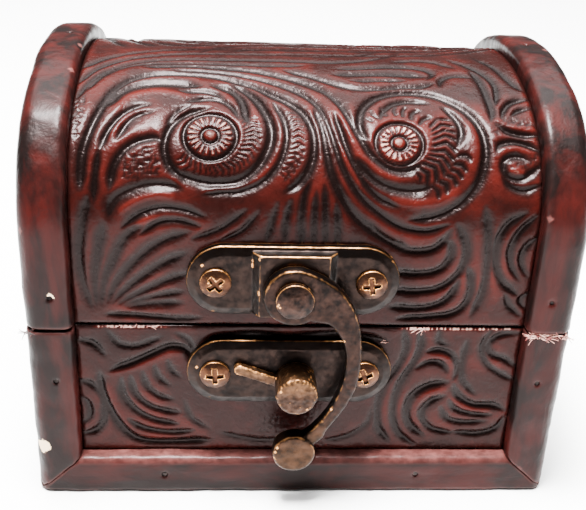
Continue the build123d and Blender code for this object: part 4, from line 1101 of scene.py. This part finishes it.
def aged_metal(
    name, dark, body_colour, bright, edge_to, roughness, pit_size,
    handled_and_lit_from=0.0, handled_and_lit_to=-1.0, handled_and_lit=0.0,
):
    """Cast metal with a dark patina, rubbed bright along its edges, more on edges that face up as a painted
    highlight, and brighter over a band of heights: real finger wear on the hook, a painted highlight on the
    stud's top.
    """
    material, nodes, links = blank_material(name)

    patina_frame = nodes.new("NodeFrame")
    patina_frame.label = "patina and rubbed edges"
    pit_frame = nodes.new("NodeFrame")
    pit_frame.label = "pits and scratches"

    place = nodes.new("ShaderNodeTexCoord")
    place.label = "places on the piece"
    stains = nodes.new("ShaderNodeTexNoise")
    stains.label = "patina stains"
    stains.inputs["Scale"].default_value = 620
    stains.inputs["Detail"].default_value = 6
    stains.inputs["Roughness"].default_value = 0.65
    links.new(place.outputs["Object"], stains.inputs["Vector"])
    stained = nodes.new("ShaderNodeValToRGB")
    stained.label = "dark and bare patina"
    stained.color_ramp.elements[0].position = 0.38
    stained.color_ramp.elements[0].color = (*dark, 1)
    stained.color_ramp.elements[1].position = 0.66
    stained.color_ramp.elements[1].color = (*body_colour, 1)
    links.new(stains.outputs["Fac"], stained.inputs["Fac"])
    shape = nodes.new("ShaderNodeNewGeometry")
    shape.label = "where edges are"
    edges = nodes.new("ShaderNodeMapRange")
    edges.label = "rubbed edges"
    edges.inputs["From Min"].default_value = 0.511
    edges.inputs["From Max"].default_value = edge_to
    links.new(shape.outputs["Pointiness"], edges.inputs["Value"])
    # painted highlight: edges that face up are made brighter, as if lit from above, on top of the real edge
    # wear
    facing = nodes.new("ShaderNodeSeparateXYZ")
    facing.label = "which way the metal faces"
    links.new(shape.outputs["Normal"], facing.inputs["Vector"])
    painted_top_light = nodes.new("ShaderNodeMapRange")
    painted_top_light.label = "upper edges rub most"
    painted_top_light.inputs["From Min"].default_value = -0.3
    painted_top_light.inputs["From Max"].default_value = 0.45
    painted_top_light.inputs["To Min"].default_value = 0.3
    painted_top_light.inputs["To Max"].default_value = 1.5
    links.new(facing.outputs["Z"], painted_top_light.inputs["Value"])
    edge_wear_and_top_highlight = nodes.new("ShaderNodeMath")
    edge_wear_and_top_highlight.label = "edges, more on top"
    edge_wear_and_top_highlight.operation = "MULTIPLY"
    links.new(edges.outputs["Result"], edge_wear_and_top_highlight.inputs[0])
    links.new(painted_top_light.outputs["Result"], edge_wear_and_top_highlight.inputs[1])
    broken = nodes.new("ShaderNodeMath")
    broken.label = "rubbing broken by stains"
    broken.operation = "MULTIPLY_ADD"
    broken.use_clamp = True
    broken.inputs[2].default_value = -0.12
    links.new(edge_wear_and_top_highlight.outputs["Value"], broken.inputs[0])
    rub_range = nodes.new("ShaderNodeMapRange")
    rub_range.label = "how far it is rubbed"
    rub_range.inputs["From Min"].default_value = 0.3
    rub_range.inputs["From Max"].default_value = 0.6
    rub_range.inputs["To Min"].default_value = 0.35
    rub_range.inputs["To Max"].default_value = 1.15
    links.new(stains.outputs["Fac"], rub_range.inputs["Value"])
    links.new(rub_range.outputs["Result"], broken.inputs[1])
    heights = nodes.new("ShaderNodeSeparateXYZ")
    heights.label = "height on the box"
    links.new(place.outputs["Object"], heights.inputs["Vector"])
    # brighter over a band of heights: real finger wear low on the hook, a painted highlight on the top of the
    # stud
    handled_and_lit_band = nodes.new("ShaderNodeMapRange")
    handled_and_lit_band.label = "rubbed by fingers lower down"
    handled_and_lit_band.inputs["From Min"].default_value = handled_and_lit_from
    handled_and_lit_band.inputs["From Max"].default_value = handled_and_lit_to
    handled_and_lit_band.inputs["To Max"].default_value = handled_and_lit
    links.new(heights.outputs["Z"], handled_and_lit_band.inputs["Value"])
    # all the brightening together: real rubbing and finger wear, and the painted highlights
    rubbed_and_lit = nodes.new("ShaderNodeMath")
    rubbed_and_lit.label = "finger wear broken by stains"
    rubbed_and_lit.operation = "MULTIPLY_ADD"
    rubbed_and_lit.use_clamp = True
    links.new(handled_and_lit_band.outputs["Result"], rubbed_and_lit.inputs[0])
    links.new(rub_range.outputs["Result"], rubbed_and_lit.inputs[1])
    links.new(broken.outputs["Value"], rubbed_and_lit.inputs[2])
    # bright metal where rubbed, and where the painted highlights fall
    colour = nodes.new("ShaderNodeMix")
    colour.label = "bright metal where rubbed"
    colour.data_type = "RGBA"
    colour.inputs["B"].default_value = (*bright, 1)
    links.new(rubbed_and_lit.outputs["Value"], colour.inputs["Factor"])
    links.new(stained.outputs["Color"], colour.inputs["A"])

    pits = nodes.new("ShaderNodeTexNoise")
    pits.label = "pits"
    pits.inputs["Scale"].default_value = pit_size
    pits.inputs["Detail"].default_value = 5
    links.new(place.outputs["Object"], pits.inputs["Vector"])
    draw = nodes.new("ShaderNodeMapping")
    draw.label = "scratches run across"
    draw.inputs["Rotation"].default_value = (0.2, 0.5, 0.3)
    draw.inputs["Scale"].default_value = (0.12, 1, 1)
    links.new(place.outputs["Object"], draw.inputs["Vector"])
    scratches = nodes.new("ShaderNodeTexNoise")
    scratches.label = "scratches"
    scratches.inputs["Scale"].default_value = 3600
    scratches.inputs["Detail"].default_value = 2
    links.new(draw.outputs["Vector"], scratches.inputs["Vector"])
    pit_relief = nodes.new("ShaderNodeBump")
    pit_relief.label = "pit relief"
    pit_relief.inputs["Strength"].default_value = 0.45
    pit_relief.inputs["Distance"].default_value = 0.0001
    links.new(pits.outputs["Fac"], pit_relief.inputs["Height"])
    scratch_relief = nodes.new("ShaderNodeBump")
    scratch_relief.label = "scratch relief"
    scratch_relief.inputs["Strength"].default_value = 0.25
    scratch_relief.inputs["Distance"].default_value = 0.00003
    links.new(scratches.outputs["Fac"], scratch_relief.inputs["Height"])
    links.new(pit_relief.outputs["Normal"], scratch_relief.inputs["Normal"])
    dull = nodes.new("ShaderNodeMapRange")
    dull.label = "duller patina"
    dull.inputs["From Min"].default_value = 0.3
    dull.inputs["From Max"].default_value = 0.7
    dull.inputs["To Min"].default_value = roughness + 0.14
    dull.inputs["To Max"].default_value = roughness - 0.06
    links.new(stains.outputs["Fac"], dull.inputs["Value"])

    metal = nodes.new("ShaderNodeBsdfPrincipled")
    metal.label = "metal"
    metal.inputs["Metallic"].default_value = 1.0
    links.new(colour.outputs["Result"], metal.inputs["Base Color"])
    links.new(dull.outputs["Result"], metal.inputs["Roughness"])
    links.new(scratch_relief.outputs["Normal"], metal.inputs["Normal"])
    out = nodes.new("ShaderNodeOutputMaterial")
    out.label = "surface"
    links.new(metal.outputs["BSDF"], out.inputs["Surface"])

    spots = {
        place: (-1500, 0), stains: (-1200, 300), stained: (-950, 300), shape: (-1200, 600),
        edges: (-950, 600), facing: (-950, 900), painted_top_light: (-800, 900), edge_wear_and_top_highlight: (-650, 800),
        broken: (-700, 500), rub_range: (-950, 850), heights: (-1200, 1100), handled_and_lit_band: (-950, 1100),
        rubbed_and_lit: (-620, 800), colour: (-450, 400), pits: (-1200, -100), draw: (-1400, -350),
        scratches: (-1200, -350), pit_relief: (-900, -100), scratch_relief: (-650, -200), dull: (-650, 50),
        metal: (0, 200), out: (300, 200),
    }
    for node, spot in spots.items():
        node.location = spot
    for node in (
        stains, stained, shape, edges, facing, painted_top_light, edge_wear_and_top_highlight, broken, rub_range, heights, handled_and_lit_band,
        rubbed_and_lit, colour,
    ):
        node.parent = patina_frame
    for node in (pits, draw, scratches, pit_relief, scratch_relief, dull):
        node.parent = pit_frame
    return material


def plain_wood(name, early, late, along):
    """Pale softwood: growth lines along the board and fibres."""
    material, nodes, links = blank_material(name)

    grain_frame = nodes.new("NodeFrame")
    grain_frame.label = "growth lines and fibres"
    place = nodes.new("ShaderNodeTexCoord")
    place.label = "places on the piece"
    draw = nodes.new("ShaderNodeMapping")
    draw.label = "grain runs along the board"
    draw.inputs["Scale"].default_value = along
    links.new(place.outputs["Object"], draw.inputs["Vector"])
    rings = nodes.new("ShaderNodeTexNoise")
    rings.label = "growth lines"
    rings.inputs["Scale"].default_value = 240
    rings.inputs["Detail"].default_value = 3
    rings.inputs["Distortion"].default_value = 1.4
    links.new(draw.outputs["Vector"], rings.inputs["Vector"])
    fibres = nodes.new("ShaderNodeTexNoise")
    fibres.label = "fibres"
    fibres.inputs["Scale"].default_value = 1900
    fibres.inputs["Detail"].default_value = 3
    links.new(draw.outputs["Vector"], fibres.inputs["Vector"])
    colours = nodes.new("ShaderNodeValToRGB")
    colours.label = "early and late wood"
    colours.color_ramp.elements[0].position = 0.35
    colours.color_ramp.elements[0].color = (*late, 1)
    colours.color_ramp.elements[1].position = 0.65
    colours.color_ramp.elements[1].color = (*early, 1)
    links.new(rings.outputs["Fac"], colours.inputs["Fac"])
    relief = nodes.new("ShaderNodeBump")
    relief.label = "fibre relief"
    relief.inputs["Strength"].default_value = 0.4
    relief.inputs["Distance"].default_value = 0.00012
    links.new(fibres.outputs["Fac"], relief.inputs["Height"])
    dull = nodes.new("ShaderNodeMapRange")
    dull.label = "bare wood sheen"
    dull.inputs["To Min"].default_value = 0.6
    dull.inputs["To Max"].default_value = 0.85
    links.new(fibres.outputs["Fac"], dull.inputs["Value"])
    board = nodes.new("ShaderNodeBsdfPrincipled")
    board.label = "wood"
    links.new(colours.outputs["Color"], board.inputs["Base Color"])
    links.new(dull.outputs["Result"], board.inputs["Roughness"])
    links.new(relief.outputs["Normal"], board.inputs["Normal"])
    out = nodes.new("ShaderNodeOutputMaterial")
    out.label = "surface"
    links.new(board.outputs["BSDF"], out.inputs["Surface"])

    spots = {
        place: (-1300, 0), draw: (-1100, 0), rings: (-850, 200), fibres: (-850, -100),
        colours: (-600, 200), relief: (-600, -100), dull: (-600, -350), board: (-200, 100),
        out: (100, 100),
    }
    for node, spot in spots.items():
        node.location = spot
    for node in (rings, fibres, colours, relief, dull):
        node.parent = grain_frame
    return material


def velvet(name, deep, lit):
    """Short-pile cloth: fine nap, brushed patches and a soft sheen."""
    material, nodes, links = blank_material(name)

    pile_frame = nodes.new("NodeFrame")
    pile_frame.label = "pile"
    place = nodes.new("ShaderNodeTexCoord")
    place.label = "places on the piece"
    brushed = nodes.new("ShaderNodeTexNoise")
    brushed.label = "brushed patches"
    brushed.inputs["Scale"].default_value = 110
    brushed.inputs["Detail"].default_value = 3
    brushed.inputs["Distortion"].default_value = 0.8
    links.new(place.outputs["Object"], brushed.inputs["Vector"])
    nap = nodes.new("ShaderNodeTexNoise")
    nap.label = "single tufts"
    nap.inputs["Scale"].default_value = 4200
    nap.inputs["Detail"].default_value = 2
    links.new(place.outputs["Object"], nap.inputs["Vector"])
    mixed = nodes.new("ShaderNodeMath")
    mixed.label = "patches and tufts"
    mixed.operation = "MULTIPLY_ADD"
    mixed.inputs[1].default_value = 0.5
    links.new(nap.outputs["Fac"], mixed.inputs[0])
    links.new(brushed.outputs["Fac"], mixed.inputs[2])
    colours = nodes.new("ShaderNodeValToRGB")
    colours.label = "deep and lit pile"
    colours.color_ramp.elements[0].position = 0.55
    colours.color_ramp.elements[0].color = (*deep, 1)
    colours.color_ramp.elements[1].position = 0.95
    colours.color_ramp.elements[1].color = (*lit, 1)
    links.new(mixed.outputs["Value"], colours.inputs["Fac"])
    relief = nodes.new("ShaderNodeBump")
    relief.label = "nap relief"
    relief.inputs["Strength"].default_value = 0.8
    relief.inputs["Distance"].default_value = 0.00015
    links.new(nap.outputs["Fac"], relief.inputs["Height"])
    cloth = nodes.new("ShaderNodeBsdfPrincipled")
    cloth.label = "velvet"
    cloth.inputs["Roughness"].default_value = 0.95
    cloth.inputs["Specular IOR Level"].default_value = 0.1
    cloth.inputs["Sheen Weight"].default_value = 0.03
    cloth.inputs["Sheen Roughness"].default_value = 0.4
    cloth.inputs["Sheen Tint"].default_value = (1.0, 0.75, 0.7, 1)
    links.new(colours.outputs["Color"], cloth.inputs["Base Color"])
    links.new(relief.outputs["Normal"], cloth.inputs["Normal"])
    out = nodes.new("ShaderNodeOutputMaterial")
    out.label = "surface"
    links.new(cloth.outputs["BSDF"], out.inputs["Surface"])

    spots = {
        place: (-1200, 0), brushed: (-900, 250), nap: (-900, -50), mixed: (-700, 150),
        colours: (-500, 150), relief: (-500, -150), cloth: (-150, 100), out: (150, 100),
    }
    for node, spot in spots.items():
        node.location = spot
    for node in (brushed, nap, mixed, colours, relief):
        node.parent = pile_frame
    return material


WASH, OXBLOOD, RUBBED_RED = (0.0024, 0.0012, 0.0011), (0.0078, 0.0017, 0.0014), (0.03, 0.0034, 0.0025)
WORN_EDGE = (0.35, 0.2, 0.16)
for number, sheet in enumerate([lid_sheet, *base_sheets.values()]):
    shift = (0.05 * number, 0.03 * number, 0)
    finish = tooled_leather(sheet.name + "_finish", WASH, OXBLOOD, RUBBED_RED, WORN_EDGE, shift)
    sheet.data.materials.append(finish)

RAIL_DARK, RAIL_LIT, RAIL_RUBBED = (0.0024, 0.0014, 0.0013), (0.0165, 0.0024, 0.002), (0.1, 0.034, 0.03)
NO_CHIP = (0.0, 0.0, -1.0)
RAIL_CHIPS = {
    "wrapped_hoop_left": ((-0.0359, -0.031, 0.0349), 0.00035),
    "wrapped_post_front_left": ((-0.0388, -0.0308, 0.0087), 0.0011),
}
LEDGE_RUB_AND_HIGHLIGHT, NO_LEDGE = (0.005, 0.0064), (1.0, 1.1)  # heights between which the pale band sets in: partly rubbing, partly a painted highlight
for number, rail in enumerate(rails):
    chip, chip_size = RAIL_CHIPS.get(rail.name, (NO_CHIP, 0.0))
    upright = "foot" not in rail.name
    across = "foot_front" in rail.name or "foot_back" in rail.name
    stretch = (1, 1, 0.35) if upright else ((0.35, 1, 1) if across else (1, 0.35, 1))
    rub_and_highlight_from, rub_and_highlight_to = LEDGE_RUB_AND_HIGHLIGHT if across else NO_LEDGE
    finish = wrapped_leather(
        rail.name + "_finish",
        RAIL_DARK,
        RAIL_LIT,
        RAIL_RUBBED,
        stretch,
        (0.04 * number, 0, 0.03 * number),
        rub_and_highlight_from,
        rub_and_highlight_to,
        chip,
        chip_size,
    )
    rail.data.materials.append(finish)

BRONZE_DARK, BRONZE, GOLDEN = (0.0036, 0.0027, 0.0025), (0.0095, 0.0059, 0.0049), (0.5, 0.22, 0.07)
antique_brass = aged_metal("antique_brass_finish", BRONZE_DARK, BRONZE, GOLDEN, 0.56, 0.34, 1500)
HOOK_BRONZE, RIVET_BRONZE = (0.013, 0.007, 0.0055), (0.02, 0.0105, 0.008)
hook_brass = aged_metal(
    "hook_brass_finish", BRONZE_DARK, HOOK_BRONZE, GOLDEN, 0.555, 0.36, 1300, 0.0165, 0.0115, 0.02
)
rivet_brass = aged_metal("rivet_brass_finish", BRONZE_DARK, RIVET_BRONZE, GOLDEN, 0.56, 0.42, 900)
STUD_DARK, STUD_BRONZE = (0.01, 0.006, 0.0046), (0.03, 0.0155, 0.0105)
# painted highlight: the stud is brightened towards its top, as if lit from above
stud_brass = aged_metal(
    "stud_brass_finish", STUD_DARK, STUD_BRONZE, GOLDEN, 0.55, 0.46, 1100, 0.0205, 0.0235, 0.08
)
SCREW_DARK, SCREW_BRONZE, SCREW_GOLD = (0.013, 0.006, 0.004), (0.045, 0.018, 0.009), (0.68, 0.29, 0.085)
screw_brass = aged_metal("screw_brass_finish", SCREW_DARK, SCREW_BRONZE, SCREW_GOLD, 0.55, 0.36, 2200)
STEEL_DARK, STEEL, STEEL_BRIGHT = (0.006, 0.005, 0.005), (0.02, 0.015, 0.014), (0.06, 0.05, 0.045)
brad_steel = aged_metal("brad_steel_finish", STEEL_DARK, STEEL, STEEL_BRIGHT, 0.6, 0.5, 1500)
OWN_BRASS = {"cast_hook": hook_brass, "cast_stud": stud_brass, "peened_rivet": rivet_brass}
for piece in hasp_pieces + hinge_pieces:
    piece.data.materials.append(OWN_BRASS.get(piece.name, antique_brass))
for piece in screw_pieces:
    piece.data.materials.append(screw_brass)
for piece in brad_pieces:
    piece.data.materials.append(brad_steel)


def raw_fibre(name, colour, tip):
    """Raw leather fibres, uneven along their length."""
    material, nodes, links = blank_material(name)
    fibre_frame = nodes.new("NodeFrame")
    fibre_frame.label = "raw fibre"
    place = nodes.new("ShaderNodeTexCoord")
    place.label = "places on the piece"
    uneven = nodes.new("ShaderNodeTexNoise")
    uneven.label = "uneven dye"
    uneven.inputs["Scale"].default_value = 1200
    uneven.inputs["Detail"].default_value = 3
    links.new(place.outputs["Object"], uneven.inputs["Vector"])
    colours = nodes.new("ShaderNodeValToRGB")
    colours.label = "dyed and raw"
    colours.color_ramp.elements[0].position = 0.38
    colours.color_ramp.elements[0].color = (*colour, 1)
    colours.color_ramp.elements[1].position = 0.62
    colours.color_ramp.elements[1].color = (*tip, 1)
    links.new(uneven.outputs["Fac"], colours.inputs["Fac"])
    fuzz = nodes.new("ShaderNodeBump")
    fuzz.label = "fuzz"
    fuzz.inputs["Strength"].default_value = 0.5
    fuzz.inputs["Distance"].default_value = 0.00005
    links.new(uneven.outputs["Fac"], fuzz.inputs["Height"])
    fibre = nodes.new("ShaderNodeBsdfPrincipled")
    fibre.label = "fibre"
    fibre.inputs["Roughness"].default_value = 0.85
    links.new(colours.outputs["Color"], fibre.inputs["Base Color"])
    links.new(fuzz.outputs["Normal"], fibre.inputs["Normal"])
    out = nodes.new("ShaderNodeOutputMaterial")
    out.label = "surface"
    links.new(fibre.outputs["BSDF"], out.inputs["Surface"])

    spots = {
        place: (-900, 0), uneven: (-700, 0), colours: (-500, 0), fuzz: (-500, -250), fibre: (-150, 0),
        out: (150, 0),
    }
    for node, spot in spots.items():
        node.location = spot
    for node in (uneven, colours, fuzz):
        node.parent = fibre_frame
    return material


pale_fibre = raw_fibre("pale_fibre_finish", (0.16, 0.03, 0.025), (0.5, 0.28, 0.22))
dark_fibre = raw_fibre("dark_fibre_finish", (0.01, 0.005, 0.005), (0.06, 0.012, 0.01))
for tufts, fibre in ((pale_tufts, pale_fibre), (dark_tufts, dark_fibre)):
    for tuft in tufts:
        tuft.data.materials.clear()
        tuft.data.materials.append(fibre)
lining_velvet = velvet("lining_velvet", (0.011, 0.001, 0.0012), (0.038, 0.002, 0.0026))
for piece in lining_pieces:
    piece.data.materials.append(lining_velvet)

board_wood = plain_wood("board_wood", (0.034, 0.013, 0.006), (0.014, 0.0055, 0.003), (0.12, 1, 1))
end_wood = plain_wood("end_board_wood", (0.032, 0.012, 0.0056), (0.013, 0.005, 0.0028), (1, 0.12, 1))
CARRIED_OVER = {
    board_wood: ("bottom_board", "front_board", "back_board", "lid_barrel"),
    end_wood: ("left_board", "right_board", "lid_end_left", "lid_end_right"),
}
for material, names in CARRIED_OVER.items():
    for name in names:
        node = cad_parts[name]
        if not node.material_slots:
            node.data.materials.append(None)
        for part in node.material_slots:
            part.material = material


# ---- stage, light and camera ---------------------------------------------------------------------
floor_mesh = bpy.data.meshes.new("floor")
FLOOR_Z = -0.00014  # the rails' uneven undersides stand on it
floor_mesh.from_pydata(
    [(-3, -3, FLOOR_Z), (3, -3, FLOOR_Z), (3, 3, FLOOR_Z), (-3, 3, FLOOR_Z)], [], [(0, 1, 2, 3)]
)
floor = bpy.data.objects.new("floor", floor_mesh)
scene.collection.objects.link(floor)
paper = bpy.data.materials.new("pale_paper")
paper.use_nodes = True
paper.node_tree.nodes["Principled BSDF"].inputs["Base Color"].default_value = (0.86, 0.86, 0.85, 1)
paper.node_tree.nodes["Principled BSDF"].inputs["Roughness"].default_value = 0.9
floor_mesh.materials.append(paper)

world = bpy.data.worlds.new("studio")
scene.world = world
world.use_nodes = True
world.node_tree.nodes["Background"].inputs["Color"].default_value = (1.0, 0.99, 0.98, 1)
world.node_tree.nodes["Background"].inputs["Strength"].default_value = 0.3


def soft_light(name, place, aim, size, energy, colour=(1, 1, 1)):
    """A square soft light aimed at a point."""
    lamp = bpy.data.lights.new(name, "AREA")
    lamp.size = size
    lamp.energy = energy
    lamp.color = colour
    stand = bpy.data.objects.new(name, lamp)
    scene.collection.objects.link(stand)
    stand.location = place
    stand.rotation_euler = (Vector(aim) - Vector(place)).to_track_quat("-Z", "Y").to_euler()


soft_light("front_soft_light", (-0.06, -0.05, 0.64), (0, 0, 0.04), 0.17, 62)
soft_light("ceiling_soft_light", (0, 0.24, 0.97), (0, 0.1, 0), 1.3, 66)

view = bpy.data.cameras.new("view")
view.sensor_width = 36.0
view.lens = 59.25
view.clip_start = 0.005
camera = bpy.data.objects.new("view", view)
scene.collection.objects.link(camera)
VIEW_FROM, VIEW_TURN, VIEW_DOWN, VIEW_ROLL = (-0.010647, -0.150664, 0.101898), -0.0721, 0.4641, 0.0450
camera.matrix_world = (
    Matrix.Translation(VIEW_FROM)
    @ Matrix.Rotation(VIEW_TURN, 4, "Z")
    @ Matrix.Rotation(pi / 2 - VIEW_DOWN, 4, "X")
    @ Matrix.Rotation(VIEW_ROLL, 4, "Z")
)
scene.camera = camera
